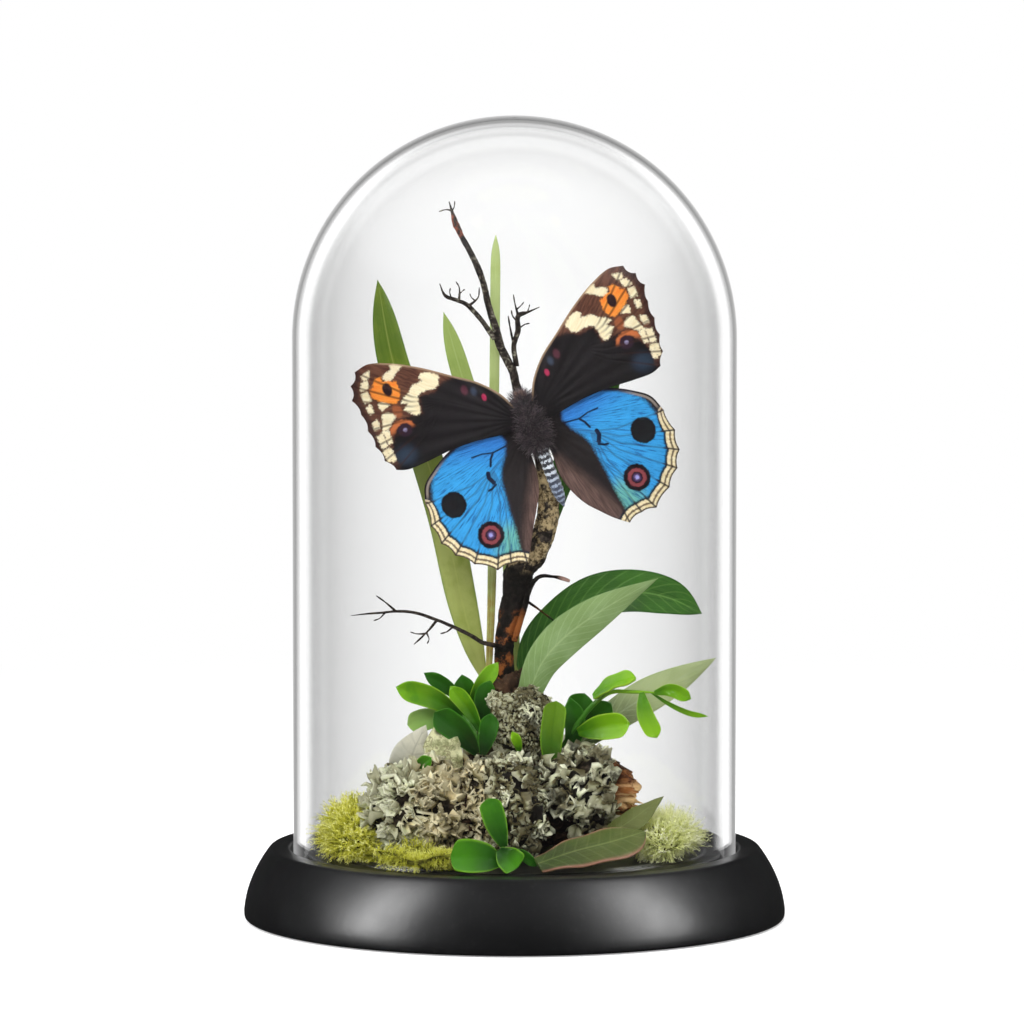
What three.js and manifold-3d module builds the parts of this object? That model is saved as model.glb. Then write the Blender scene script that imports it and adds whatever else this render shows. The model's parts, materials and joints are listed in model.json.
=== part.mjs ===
// A blue pansy butterfly on a lichened branch with moss and leaves, under a glass dome on a black base.
// Millimetres. The origin is the middle of the base's underside, +Z is up and -Y is the front.
import * as THREE from "three";
import { mergeVertices } from "three/addons/utils/BufferGeometryUtils.js";
import Module from "manifold-3d";

const wasm = await Module();
wasm.setup();

// Driving dimensions.
const baseRadius = 43.5; // widest, just above the underside
const baseHeight = 11.3; // to the outer rim
const rimRadius = 39.2; // outer edge of the rim
const domeRadius = 35.5; // outside of the glass
const glassThickness = 1.8;
const objectHeight = 128.3; // underside of the base to the top of the glass
const grooveDepth = 2;
const seatGap = 0.3; // between touching pieces
const turnedSides = 32; // facets round the base and the glass

const domeCentre = objectHeight - domeRadius; // height of the middle of the round top
const innerRadius = domeRadius - glassThickness;
const contentRadius = innerRadius - 0.6; // nothing under the glass reaches further out
const landHeight = baseHeight - 0.5; // ring between the groove and the middle disc
const floorHeight = landHeight + 0.2; // the disc that the planting stands on
const floorRadius = 30.7;
const plantingFloor = floorHeight + seatGap;

const colours = {
  base: ["#161617", 0.35],
  glass: ["#eef3f3", 0.05],
  bark: ["#6b4a33", 0.9],
  twig: ["#2c2422", 0.85],
  lichen: ["#a5ab8c", 0.9],
  moss: ["#b5bf3f", 0.95],
  strapLeaf: ["#55782a", 0.5],
  paleLeaf: ["#9db183", 0.6],
  darkLeaf: ["#2f6a1a", 0.4],
  brightLeaf: ["#6fae1c", 0.35],
  papery: ["#bdbdae", 0.7],
  wing: ["#2f7fd0", 0.6],
  body: ["#2b2425", 0.9],
};

const vector = ([x, y, z]) => new THREE.Vector3(x, y, z);
const mix = (a, b, t) => a + (b - a) * t;

// The value at t, from 0 to 1, of a list of evenly spaced values.
function along(values, t) {
  const place = Math.min(t, 0.99999) * (values.length - 1);
  const i = Math.floor(place);
  return mix(values[i], values[i + 1], place - i);
}

// An uneven surface: a smooth value from -1 to 1 for each direction.
function ripple(x, y, z, seed) {
  const broad = Math.sin(2.9 * x + seed) * Math.sin(3.3 * y + 2 * seed) + Math.sin(3.1 * z + 3 * seed);
  const fine = Math.sin(7.3 * x + 4 * seed) * Math.sin(6.7 * z + seed) + Math.sin(7.9 * y + 5 * seed);
  return (broad + fine) / 4;
}

// A closed geometry as a solid, with its shared vertices merged and its collapsed faces dropped.
function toSolid(geometry) {
  const bare = geometry.clone();
  bare.deleteAttribute("normal");
  bare.deleteAttribute("uv");
  const merged = mergeVertices(bare, 1e-4);
  const index = merged.index.array;
  const kept = [];
  for (let i = 0; i < index.length; i += 3) {
    const [a, b, c] = index.slice(i, i + 3);
    if (a !== b && b !== c && c !== a) kept.push(a, b, c);
  }
  return new wasm.Manifold(
    new wasm.Mesh({
      numProp: 3,
      vertProperties: merged.attributes.position.array,
      triVerts: new Uint32Array(kept),
    }),
  );
}

function toGeometry(solid) {
  const mesh = solid.getMesh();
  return new THREE.BufferGeometry()
    .setAttribute("position", new THREE.BufferAttribute(mesh.vertProperties, 3))
    .setIndex(new THREE.BufferAttribute(mesh.triVerts, 1));
}

function largestBody(solid) {
  return solid.decompose().reduce((best, body) => (body.volume() > best.volume() ? body : best));
}

// A profile of [radius, height] points turned about the vertical.
function turned(profile) {
  const points = profile.map(([r, z]) => new THREE.Vector2(r, z));
  return toSolid(new THREE.LatheGeometry(points, turnedSides).rotateX(Math.PI / 2));
}

// The space for the planting: inside the glass and over the middle disc.
const roomUnderGlass = turned([
  [0, plantingFloor],
  [contentRadius, plantingFloor],
  [contentRadius, domeCentre],
  [0, domeCentre],
]);

// Moves a point of a thin piece inside that space.
function underGlass(point) {
  const inward = Math.min(1, contentRadius / Math.hypot(point.x, point.y));
  point.multiply(vector([inward, inward, 1]));
  point.z = Math.max(point.z, plantingFloor);
  return point;
}

// Moves each vertex of a geometry to where shapeOf puts it.
function reshaped(geometry, shapeOf) {
  const place = geometry.attributes.position;
  for (let i = 0; i < place.count; i++) {
    const moved = shapeOf(place.getX(i), place.getY(i), place.getZ(i));
    place.setXYZ(i, moved.x, moved.y, moved.z);
  }
  return toSolid(geometry);
}

// A rough rounded mass. lobes ripples its rim, as a lichen's edge does.
function lump({ centre, size, rough = 0.15, lobes = 0, seed = 1, sides = 12, rings = 7 }, spare = 0) {
  const unit = new THREE.SphereGeometry(1, sides, rings).rotateX(Math.PI / 2);
  return reshaped(unit, (x, y, z) => {
    const frill = lobes ? 0.12 * Math.cos(lobes * Math.atan2(z, x)) * Math.hypot(x, z) : 0;
    const swell = 1 + rough * ripple(x, y, z, seed) + frill;
    const spot = vector([x * size[0], y * size[1], z * size[2]]).multiplyScalar(swell);
    spot.addScaledVector(vector([x, y, z]), spare);
    return spot.add(vector(centre));
  }).intersect(roomUnderGlass);
}

// A round bar along a line, its radius given at even steps. depth widens it front to back.
function bar({ line, radii, sides = 7, steps = 12, rough = 0, depth = 1, seed = 1 }, spare = 0) {
  const curve = new THREE.CatmullRomCurve3(line.map(vector), false, "centripetal");
  const across = new THREE.Vector3(0, 1, 0);
  return reshaped(new THREE.CylinderGeometry(1, 1, 1, sides, steps), (x, y, z) => {
    const t = y + 0.5;
    const tangent = curve.getTangent(t);
    const side = tangent.clone().cross(across).normalize();
    const up = side.clone().cross(tangent);
    const radius = along(radii, t) * (1 + rough * ripple(x, 6 * t, z, seed)) + spare;
    const spot = curve.getPoint(t).addScaledVector(side, x * radius);
    return underGlass(spot.addScaledVector(up, z * radius * depth));
  });
}

// A bar with short side spurs grown into it.
function twig({ spurs = [], ...main }, spare = 0) {
  const spurShape = { radii: [0.24, 0.2, 0.12], sides: 4, steps: 2 };
  return spurs.reduce((whole, line) => whole.add(bar({ line, ...spurShape }, spare)), bar(main, spare));
}

// A leaf blade along its midrib. facing is the way its upper side looks, at the root and at the tip.
// root is its width at the stalk as a share of the full width, peak is where along it the widest
// place is, and blunt rounds its tip.
function blade(sizes, spare = 0) {
  const plain = { facing: [[0, -1, 0]],
    root: 0.3, peak: 0.5, blunt: 1.2, fold: 0.15, thickness: 0.45, steps: 8 };
  const { line, width, facing, root, peak, blunt, fold, thickness, steps } = { ...plain, ...sizes };
  const curve = new THREE.CatmullRomCurve3(line.map(vector), false, "centripetal");
  const [first, last] = [vector(facing[0]), vector(facing[facing.length - 1])];
  const leastWidth = 0.3;
  return reshaped(new THREE.BoxGeometry(2, 1, 1, 2, steps, 1), (x, y, z) => {
    const t = y + 0.5;
    const tangent = curve.getTangent(t);
    const side = tangent.clone().cross(first.clone().lerp(last, t)).normalize();
    const normal = side.clone().cross(tangent);
    const rise = root + (1 - root) * Math.sin((Math.PI / 2) * Math.min(1, t / peak));
    const fall = Math.cos((Math.PI / 2) * Math.max(0, (t - peak) / (1 - peak)) ** blunt);
    const half = Math.max(leastWidth, width * rise * fall) / 2;
    const spot = curve.getPoint(t).addScaledVector(tangent, spare * 2 * y);
    spot.addScaledVector(side, x * (half + spare));
    return underGlass(spot.addScaledVector(normal, z * (thickness + 2 * spare) - fold * half * Math.abs(x)));
  });
}

// --- Holder ---

function baseSolid() {
  const bulge = (height) => baseRadius - (baseRadius - rimRadius) * (height / baseHeight) ** 2;
  const flank = [1, 5, 8.4, 10.8].map((height) => [bulge(height), height]);
  const clearance = 0.5; // each side of the glass in its groove
  const grooveOuter = domeRadius + clearance;
  const grooveInner = innerRadius - clearance;
  const grooveFloor = baseHeight - grooveDepth;
  return turned([
    [0, 0],
    [baseRadius - 0.8, 0],
    ...flank,
    [rimRadius - 0.4, baseHeight],
    [grooveOuter, baseHeight],
    [grooveOuter, grooveFloor],
    [grooveInner, grooveFloor],
    [grooveInner, landHeight],
    [floorRadius, landHeight],
    [floorRadius - 0.3, floorHeight],
    [0, floorHeight],
  ]);
}

function domeSolid() {
  const arcSteps = 6;
  const quarter = (radius) =>
    Array.from({ length: arcSteps + 1 }, (_, i) => {
      const angle = (i / arcSteps) * (Math.PI / 2);
      return [i === arcSteps ? 0 : radius * Math.cos(angle), domeCentre + radius * Math.sin(angle)];
    });
  const foot = baseHeight - grooveDepth + seatGap;
  const wall = [[innerRadius, foot], [domeRadius, foot]];
  return turned([...quarter(innerRadius).reverse(), ...wall, ...quarter(domeRadius)]);
}

// --- Butterfly, in its own axes: +X to its right, +Y to its head, +Z out of its back ---

const butterflyPlace = [3, -5, 78.6];
const butterflyTurn = -21.7; // degrees that the head leans to the left
const wingThickness = 0.4;
const forewing = {
  lift: 0.35, // height of the wing root over the middle of the body
  raise: 8, // degrees that the wing rises towards its tip
  leading: [[1.5, 4.6], [2.8, 7.2], [5.4, 10.2], [9.2, 13], [13.2, 15.9], [17.4, 18.3], [20.6, 19.4],
    [22.9, 19]],
  scallops: [[24.3, 17.2], [25, 15], [24.5, 12.4], [24.5, 9.6], [24.3, 6.8], [23.8, 4.2], [22.6, 2.2]],
  trailing: [[21, 1.6], [17.8, 1.6], [13.2, 1.9], [9, 1.7], [5.2, 1.1], [1.3, 0.4]],
};
const hindwing = {
  lift: -0.35,
  raise: 6.5,
  leading: [[1.4, 1.3], [5.2, 2.2], [8.4, 2.7], [11.5, 2.5], [14.6, 1.4], [17.2, -0.1], [19.3, -1.8],
    [20.4, -4.6]],
  scallops: [[20.9, -8.2], [20.4, -11.4], [19, -14], [16.7, -16.4], [13.6, -18.7], [11.2, -18.5],
    [8.8, -19.4]],
  trailing: [[7.5, -17.4], [6, -14.8], [4.4, -12.2], [2.8, -9.4], [2, -6.4], [1.8, -3.6], [1.4, -1.6]],
};

// A flat wing, with an inward curve between one tooth of its outer edge and the next.
function wingSolid(wing, sideways) {
  const inward = 0.97;
  const planar = (points) => points.map(([x, y]) => new THREE.Vector2(x, y));
  const outline = new THREE.Shape();
  outline.moveTo(...wing.leading[0]);
  outline.splineThru(planar(wing.leading.slice(1)));
  let [fromX, fromY] = wing.leading.at(-1);
  for (const [x, y] of wing.scallops) {
    outline.quadraticCurveTo((inward * (fromX + x)) / 2, (inward * (fromY + y)) / 2, x, y);
    [fromX, fromY] = [x, y];
  }
  outline.splineThru(planar(wing.trailing));
  const sheet = { depth: wingThickness, bevelEnabled: false, curveSegments: 2 };
  const flat = new THREE.ExtrudeGeometry(outline, sheet);
  flat.rotateY(THREE.MathUtils.degToRad(-wing.raise)).translate(0, 0, wing.lift);
  const solid = toSolid(flat);
  return sideways < 0 ? solid.mirror([1, 0, 0]) : solid;
}

function ellipsoid([x, y, z], [width, length, height], spare = 0, sides = 10, rings = 6) {
  const unit = new THREE.SphereGeometry(1, sides, rings);
  unit.scale(width + spare, length + spare, height + spare).translate(x, y, z);
  return toSolid(unit);
}

// A thin bar in the butterfly's axes, from one point to the next.
function limb(line, radii, sides, steps) {
  const curve = new THREE.CatmullRomCurve3(line.map(vector), false, "centripetal");
  const across = new THREE.Vector3(0, 0, 1);
  return reshaped(new THREE.CylinderGeometry(1, 1, 1, sides, steps), (x, y, z) => {
    const t = y + 0.5;
    const tangent = curve.getTangent(t);
    const side = tangent.clone().cross(across).normalize();
    const up = side.clone().cross(tangent);
    const radius = along(radii, t);
    return curve.getPoint(t).addScaledVector(side, x * radius).addScaledVector(up, z * radius);
  });
}

// Thorax, head, eyes, palps, ringed abdomen and folded legs, in one piece.
function bodySolid(spare = 0) {
  const rings = 5;
  const ringed = (t) => 0.98 - 0.06 * Math.cos(2 * Math.PI * rings * t);
  const abdomenRadius = (t) => ringed(t) * Math.sqrt(1.02 - t ** 6) + spare;
  const abdomen = Array.from({ length: 2 * rings + 1 }, (_, i) => abdomenRadius(i / (2 * rings)));
  let body = ellipsoid([0, 0.2, 0], [1.75, 3.5, 1.6], spare);
  body = body.add(ellipsoid([0, 4.2, 0.1], [1.05, 1.15, 1], spare));
  body = body.add(limb([[0, -2.4, 0], [0, -6, 0.1], [0, -10, 0], [0, -13.2, -0.1]], abdomen, 8, 2 * rings));
  if (spare) return body;
  for (const side of [-1, 1]) {
    body = body.add(ellipsoid([side * 0.85, 4.4, 0.2], [0.5, 0.62, 0.6], 0, 6, 4));
    body = body.add(limb([[side * 0.3, 4.9, 0.1], [side * 0.45, 6.3, 0.35]], [0.32, 0.12], 4, 2));
    for (const station of [1.6, -0.9]) {
      const [hip, foot] = [[side * 0.9, station, -0.9], [side * 1.9, station - 0.4, -3.9]];
      const leg = [hip, [side * 2.1, station + 0.4, -2.1], foot];
      body = body.add(limb(leg, [0.22, 0.2, 0.14], 4, 3));
    }
  }
  return body;
}

function butterfly() {
  const group = new THREE.Group();
  const place = (name, solid, [colour, roughness]) =>
    group.add(named(name, solid, new THREE.MeshStandardMaterial({ color: colour, roughness })));
  place("butterfly_body", bodySolid(), colours.body);
  const sleeve = bodySolid(seatGap);
  for (const [label, sideways] of [["left", -1], ["right", 1]]) {
    place(`forewing_${label}`, largestBody(wingSolid(forewing, sideways).subtract(sleeve)), colours.wing);
    place(`hindwing_${label}`, largestBody(wingSolid(hindwing, sideways).subtract(sleeve)), colours.wing);
  }
  group.rotation.set(Math.PI / 2, THREE.MathUtils.degToRad(butterflyTurn), 0, "YXZ");
  group.position.set(...butterflyPlace);
  return group;
}

// --- Planting: each piece is cut back from the ones above it in this list, with the seat gap between ---

const front = [[0, -1, 0]];
const skyward = [[0, -0.6, 0.8]];
const planting = [
  ["bark_log", bar, "bark", {
    line: [[-21, -7, 17.5], [-10, -6.5, 18], [2, -6, 18.5], [12, -5.5, 20.5], [19.8, -5.5, 21]],
    radii: [5.2, 8, 8.2, 6.6, 4.2], depth: 1.3, rough: 0.14, sides: 12, steps: 9, seed: 2,
  }],
  ["wood_stump", lump, "bark", { centre: [0, -0.5, 31], size: [5.8, 5.8, 9.6], rough: 0.12, seed: 5 }],
  ["trunk", bar, "twig", {
    line: [[-1.5, 0, 37.5], [-1.5, -0.5, 44.5], [0, -1, 51], [0.7, -1, 55.5], [3.2, -1, 58.5],
      [5, -1.2, 63], [5.4, -1.6, 68.5], [4.2, -2, 75], [2.2, -2, 80], [0.6, -1.8, 84], [-0.4, -1.2, 88.3]],
    radii: [1.5, 1.6, 2, 2.4, 2, 1.7, 1.7, 1.25, 0.9, 0.7, 0.65], rough: 0.12, sides: 7, steps: 18, seed: 3,
  }],
  ["twig_leader", twig, "twig", {
    line: [[-0.6, -1.1, 88.9], [-2.2, -1, 91.6], [-3.8, -1, 97.1], [-5.8, -1, 104], [-8.4, -1, 109.1],
      [-9.2, -1, 110.8], [-10.4, -1, 114.6]],
    radii: [0.62, 0.6, 0.52, 0.48, 0.4, 0.5, 0.2], sides: 5, steps: 10,
    spurs: [[[-10, -1, 113.2], [-11, -1, 113.3], [-12, -1, 113]], [[-10, -1, 113], [-9.6, -1, 113.8],
      [-9.5, -1, 114.7]]],
  }],
  ["twig_fork_left", twig, "twig", {
    line: [[-3.2, -1.6, 92.8], [-4.9, -2, 95.3], [-7.5, -2.2, 98.2], [-8.9, -2.2, 98.9], [-11, -2, 99.7],
      [-11.9, -2, 101.6]],
    radii: [0.42, 0.38, 0.36, 0.32, 0.28, 0.22], sides: 4, steps: 7,
    spurs: [[[-8.8, -2.2, 98.8], [-8.8, -2.2, 101], [-9.3, -2, 101.9]], [[-7.4, -2.2, 98],
      [-5.8, -2.2, 99.4], [-5.6, -2, 101]]],
  }],
  ["twig_fork_right", twig, "twig", {
    line: [[0.3, -0.8, 88.4], [-0.1, -0.4, 91.6], [0.5, -0.2, 94], [0.6, 0, 96.4], [1.9, 0, 96.9],
      [4, 0.3, 97.8]],
    radii: [0.45, 0.42, 0.4, 0.36, 0.26, 0.18], sides: 4, steps: 8,
    spurs: [[[0.6, 0, 96.3], [0.1, 0, 98.2], [-0.2, 0, 99.8]], [[-0.1, -0.4, 91.6], [-0.7, -0.3, 94.5],
      [-1, -0.2, 96.4]]],
  }],
  ["twig_side_left", twig, "twig", {
    line: [[-1.6, -1.6, 43.4], [-5, -3, 44.4], [-7.5, -4, 45.9], [-11.6, -4, 47.8], [-16.6, -4, 49.4],
      [-21.8, -4, 49.2], [-26, -4, 48.8]],
    radii: [0.4, 0.34, 0.3, 0.26, 0.22, 0.18, 0.12], sides: 4, steps: 9,
    spurs: [[[-18.8, -4, 49.4], [-20.4, -4, 50.8], [-22, -4, 52]], [[-12.4, -4, 48], [-13.9, -4.2, 46.2],
      [-16, -4.2, 44.2]]],
  }],
  ["twig_side_right", twig, "twig", {
    line: [[0, -2, 44.5], [1.6, -3, 50], [2.9, -3.6, 53.9], [4, -3.8, 55], [6.4, -3.8, 55],
      [8.8, -3.8, 54.3]],
    radii: [0.45, 0.42, 0.38, 0.3, 0.24, 0.34], sides: 4, steps: 8,
    spurs: [[[1.9, -3.1, 51.1], [4.3, -3.3, 49.4], [6.4, -3.4, 47.8]]],
  }],
  ["lichen_left", lump, "lichen", { centre: [-15, -14, 18.2], size: [8.6, 6.8, 8.4],
    lobes: 5, rough: 0.16, seed: 4 }],
  ["lichen_middle", lump, "lichen", { centre: [-1.2, -13.4, 19.4], size: [7.8, 6, 7.8],
    lobes: 5, rough: 0.18, seed: 7 }],
  ["lichen_right", lump, "lichen", { centre: [11, -10.8, 21], size: [8.4, 5.6, 7],
    lobes: 5, rough: 0.18, seed: 9 }],
  ["lichen_back", lump, "lichen", { centre: [3, 3.5, 21], size: [13, 4.8, 6.4],
    lobes: 5, rough: 0.16, seed: 12 }],
  ["lichen_stump", lump, "lichen", { centre: [1, -4, 31.8], size: [5.6, 4.2, 6.2],
    lobes: 5, rough: 0.16, seed: 6 }],
  ["lichen_lobe", blade, "lichen", {
    line: [[-10.4, -11.4, 24.6], [-11.4, -12.4, 27.6], [-12.3, -11.6, 30.6]],
    width: 5.4, facing: front, root: 0.7, peak: 0.6, blunt: 2.4, fold: 0.3, thickness: 0.8, steps: 6,
  }],
  ["moss_left", lump, "moss", { centre: [-24.2, -10.5, 12.5], size: [6.6, 8.6, 8.2], rough: 0.2, seed: 8 }],
  ["moss_front", lump, "moss", { centre: [-13.5, -24.5, 10.5], size: [10.5, 6.6, 4.2],
    rough: 0.2, seed: 3 }],
  ["moss_right", lump, "moss", { centre: [23.2, -11.5, 12], size: [6.2, 9, 7.2], rough: 0.2, seed: 2 }],
  ["moss_back", lump, "moss", { centre: [1, 17, 10], size: [23, 13, 8.5], rough: 0.14, seed: 10 }],
  ["strap_leaf_left", blade, "strapLeaf", {
    line: [[-4.6, 2.4, 37.2], [-6.4, 3, 42.6], [-8.5, 4, 50.5], [-11.2, 5, 63], [-15.4, 5, 77],
      [-19.6, 4.5, 89], [-22, 3.5, 102]],
    width: 4.5, root: 0.3, peak: 0.4, blunt: 1.5, steps: 10,
  }],
  ["strap_leaf_middle", blade, "strapLeaf", {
    line: [[0.2, 4, 38.5], [-0.4, 5.4, 50], [-1.6, 6, 65], [-5.4, 6, 77], [-8.6, 5.5, 87],
      [-11.4, 4.5, 96.8]],
    width: 3, root: 0.4, peak: 0.5, blunt: 1.5, steps: 9,
  }],
  ["grass_leaf", blade, "strapLeaf", {
    line: [[-4.2, -1, 37.6], [-3.8, 1.5, 47.5], [-3.6, 3, 56], [-3.3, 4, 80], [-3, 4, 109.2]],
    width: 1.6, root: 0.8, peak: 0.6, blunt: 1.8, fold: 0.1, steps: 8,
  }],
  ["wing_leaf", blade, "darkLeaf", {
    line: [[6, 0.4, 63.6], [7.6, 1.4, 70.4], [10.6, 2.4, 76.4], [13.8, 2.8, 82], [17.6, 3, 89.4]],
    width: 5.2, root: 0.35, peak: 0.5, blunt: 1.4, steps: 8,
  }],
  ["arching_leaf", blade, "darkLeaf", {
    line: [[1.2, 4, 36.6], [3.2, 3.4, 43.4], [7.4, 2.2, 48], [12.5, 0, 51.2], [18.5, -2, 52.4],
      [24.5, -4, 51.6], [29.6, -6, 49.3]],
    width: 7, facing: [[-0.4, -1, 0.4], [0.1, -1, 0.3]], root: 0.35, peak: 0.6, blunt: 2, fold: -0.25,
    steps: 9,
  }],
  ["pale_leaf", blade, "paleLeaf", {
    line: [[2.2, -4.4, 36], [4.4, -5.4, 41.4], [7.8, -6, 45.4], [12.5, -6.6, 49], [17.5, -7.4, 52.2],
      [22.6, -8.2, 55.1]],
    width: 6.2, facing: front, root: 0.6, peak: 0.42, blunt: 0.95, fold: 0.2, steps: 9,
  }],
  ["side_leaf_right", blade, "paleLeaf", {
    line: [[9, 3.4, 25.6], [12, 2.6, 28.8], [15.6, 2, 31.6], [20.2, 2, 34.6], [26.6, 1, 38.2],
      [32.6, 0, 41.6]],
    width: 5.6, facing: front, root: 0.3, peak: 0.62, blunt: 1, fold: 0.12, steps: 8,
  }],
  ["papery_leaf", blade, "papery", {
    line: [[-16.6, -6.6, 22.6], [-16.6, -8.4, 26.6], [-14.4, -8.6, 31.2]],
    width: 5.6, facing: front, root: 0.7, peak: 0.5, blunt: 1.6, thickness: 0.35, fold: 0.25, steps: 6,
  }],
  ["front_leaf", blade, "paleLeaf", {
    line: [[3.6, -30, 12.4], [9, -28, 14], [14.8, -25.6, 15.2], [20.2, -22.4, 16.4]],
    width: 6.4, facing: skyward, root: 0.3, peak: 0.66, blunt: 2.2, fold: 0.1, thickness: 0.9, steps: 8,
  }],
  ["low_leaf_right", blade, "paleLeaf", {
    line: [[14, -18.2, 15], [18, -17.6, 17.6], [23.2, -16.4, 21.4]],
    width: 4.6, facing: skyward, root: 0.5, peak: 0.4, blunt: 1.1, steps: 6,
  }],
];

// Sprigs of small thick leaves: a stem and the leaves on it, each a midrib and a width.
const sprigs = {
  sprig_right: {
    stem: { line: [[6.6, -3.4, 25.4], [9.4, -5, 30.6], [12.4, -6, 34.6], [15.2, -7, 36.8], [18.6, -8, 37],
      [22.6, -9, 37]], radii: [0.5, 0.45, 0.4, 0.35, 0.3, 0.25] },
    leaves: [
      [[[6.2, -9.6, 25], [5.8, -9, 30], [6.9, -8.4, 35.6]], 4, front, 3],
      [[[9.3, -3.6, 30.8], [10, -2.8, 33], [11.2, -2.6, 36.2]], 2.8, front, 2],
      [[[13, -7, 34.8], [15.4, -8.2, 37.6], [19.2, -9.6, 40]], 3.6, skyward, 2.2],
      [[[10.2, -6.2, 30.4], [13.6, -8, 31.4], [18.2, -10, 32.2]], 3.8, front, 2.4],
      [[[20.2, -9.4, 36.4], [20.6, -10.2, 33.6], [22.4, -11, 30]], 3, front, 2.6],
      [[[23, -9.6, 37.2], [25, -10.2, 37.5], [27.6, -11, 36.2]], 2.2, front, 2.2],
      [[[22.8, -8.4, 36.2], [25, -8.2, 34.6], [27.8, -8.2, 33.4], [30.4, -8.2, 33.1]], 0.9, front, 1.5],
      [[[10.8, -3.6, 30.2], [12.4, -3.4, 32], [15.4, -3.6, 34.8]], 2.6, front, 1.6],
    ],
  },
  sprig_left: {
    stem: { line: [[-5, -6.6, 27], [-7, -7.6, 31.4], [-9.6, -8, 34.4]], radii: [0.5, 0.45, 0.35] },
    leaves: [
      [[[-10.2, -8.4, 35], [-14, -9.2, 36.8], [-18.7, -10, 38]], 3.2, front, 1.5],
      [[[-9.8, -5.8, 36], [-12, -5.6, 38], [-14.4, -5.6, 39.6]], 1.8, front, 1.2],
      [[[-5.9, -10.2, 27.6], [-8.8, -11.4, 31.2], [-12.6, -12.4, 34.2]], 4.2, front, 2.4],
      [[[-5, -11.4, 27.4], [-4.3, -11.8, 30.6], [-3.6, -11.6, 34]], 3, front, 1.3],
      [[[-7.4, -7, 33.4], [-8.6, -6.8, 35.6], [-10.4, -6.6, 38.2]], 2, front, 1.4],
      [[[-10.2, -6.2, 31.6], [-13.4, -6.6, 32.6], [-17, -7, 31.6]], 3.6, front, 2.6],
      [[[-6.4, -4.4, 35.6], [-4.7, -4.8, 38.6], [-2.7, -4.8, 41.2]], 2.2, front, 1.3],
    ],
  },
  sprig_front: {
    stem: { line: [[-1.4, -26.6, 11.6], [-1.3, -27.8, 12.8], [-1.5, -28.6, 14.2]],
      radii: [0.5, 0.5, 0.45] },
    leaves: [
      [[[-1.6, -28.4, 15], [-2.8, -28.6, 18.6], [-4, -28.2, 22.6]], 3.6, front, 3],
      [[[-2.2, -29.2, 13], [-5.4, -29.8, 13.6], [-9.6, -29.8, 13.8]], 4.4, skyward, 3],
      [[[-1.4, -29.6, 13.4], [-0.6, -30.6, 12.8], [0.6, -31.4, 11.8]], 3.4, skyward, 2.6],
      [[[-0.6, -28, 14.4], [1.2, -28.4, 13.8], [3.4, -28.8, 12]], 1.6, front, 1.6],
    ],
  },
};
for (const [name, { stem, leaves }] of Object.entries(sprigs)) {
  planting.push([`${name}_stem`, bar, "darkLeaf", { ...stem, sides: 5, steps: 8 }]);
  leaves.forEach(([line, width, facing, blunt], i) => {
    const leaf = { line, width, facing, blunt, root: 0.35, peak: 0.6, fold: 0.12, thickness: 0.6, steps: 4 };
    planting.push([`${name}_leaf_${i + 1}`, blade, "brightLeaf", leaf]);
  });
}

function named(name, solid, material) {
  const mesh = new THREE.Mesh(toGeometry(solid), material);
  mesh.name = name;
  return mesh;
}

function touches(a, b) {
  const [p, q] = [a.boundingBox(), b.boundingBox()];
  return [0, 1, 2].every((k) => p.min[k] < q.max[k] && q.min[k] < p.max[k]);
}

const assembly = new THREE.Group();
const finish = ([colour, roughness]) => new THREE.MeshStandardMaterial({ color: colour, roughness });
assembly.add(named("base", baseSolid(), finish(colours.base)));
const glass = finish(colours.glass);
glass.transparent = true;
glass.opacity = 0.25;
assembly.add(named("glass_dome", domeSolid(), glass));

const sleeves = [];
for (const [name, shape, colour, sizes] of planting) {
  let solid = shape(sizes);
  for (const sleeve of sleeves) if (touches(solid, sleeve)) solid = solid.subtract(sleeve);
  assembly.add(named(name, largestBody(solid), finish(colours[colour])));
  sleeves.push(shape(sizes, seatGap));
}
assembly.add(butterfly());

export default assembly;
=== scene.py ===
import json
import math

import bmesh
import bpy
import numpy as np
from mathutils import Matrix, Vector, noise

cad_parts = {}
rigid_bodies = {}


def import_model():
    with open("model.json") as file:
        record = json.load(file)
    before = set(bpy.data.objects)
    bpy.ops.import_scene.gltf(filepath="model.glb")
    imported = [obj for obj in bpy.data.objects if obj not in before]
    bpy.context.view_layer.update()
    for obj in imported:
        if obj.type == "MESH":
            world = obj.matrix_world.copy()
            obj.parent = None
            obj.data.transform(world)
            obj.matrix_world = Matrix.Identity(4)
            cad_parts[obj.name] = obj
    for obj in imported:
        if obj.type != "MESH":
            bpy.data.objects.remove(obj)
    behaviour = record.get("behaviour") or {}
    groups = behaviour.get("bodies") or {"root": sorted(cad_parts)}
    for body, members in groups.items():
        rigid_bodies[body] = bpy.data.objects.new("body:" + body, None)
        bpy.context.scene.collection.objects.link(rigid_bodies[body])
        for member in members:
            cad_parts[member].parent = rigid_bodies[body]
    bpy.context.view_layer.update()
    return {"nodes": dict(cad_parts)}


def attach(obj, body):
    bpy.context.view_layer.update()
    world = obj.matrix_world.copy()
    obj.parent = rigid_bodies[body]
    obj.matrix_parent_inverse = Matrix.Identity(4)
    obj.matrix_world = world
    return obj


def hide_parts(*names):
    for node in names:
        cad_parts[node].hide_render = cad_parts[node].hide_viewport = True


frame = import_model()
mm = 0.001
print("frame loaded:", len(frame["nodes"]), "nodes")

# ---- small helpers for nodes ----


def addNode(tree, kind, inputs=None, **settings):
    made = tree.nodes.new(kind)
    for key, value in settings.items():
        setattr(made, key, value)
    for key, value in (inputs or {}).items():
        if isinstance(value, bpy.types.NodeSocket):
            tree.links.new(value, made.inputs[key])
        else:
            made.inputs[key].default_value = value
    return made


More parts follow.
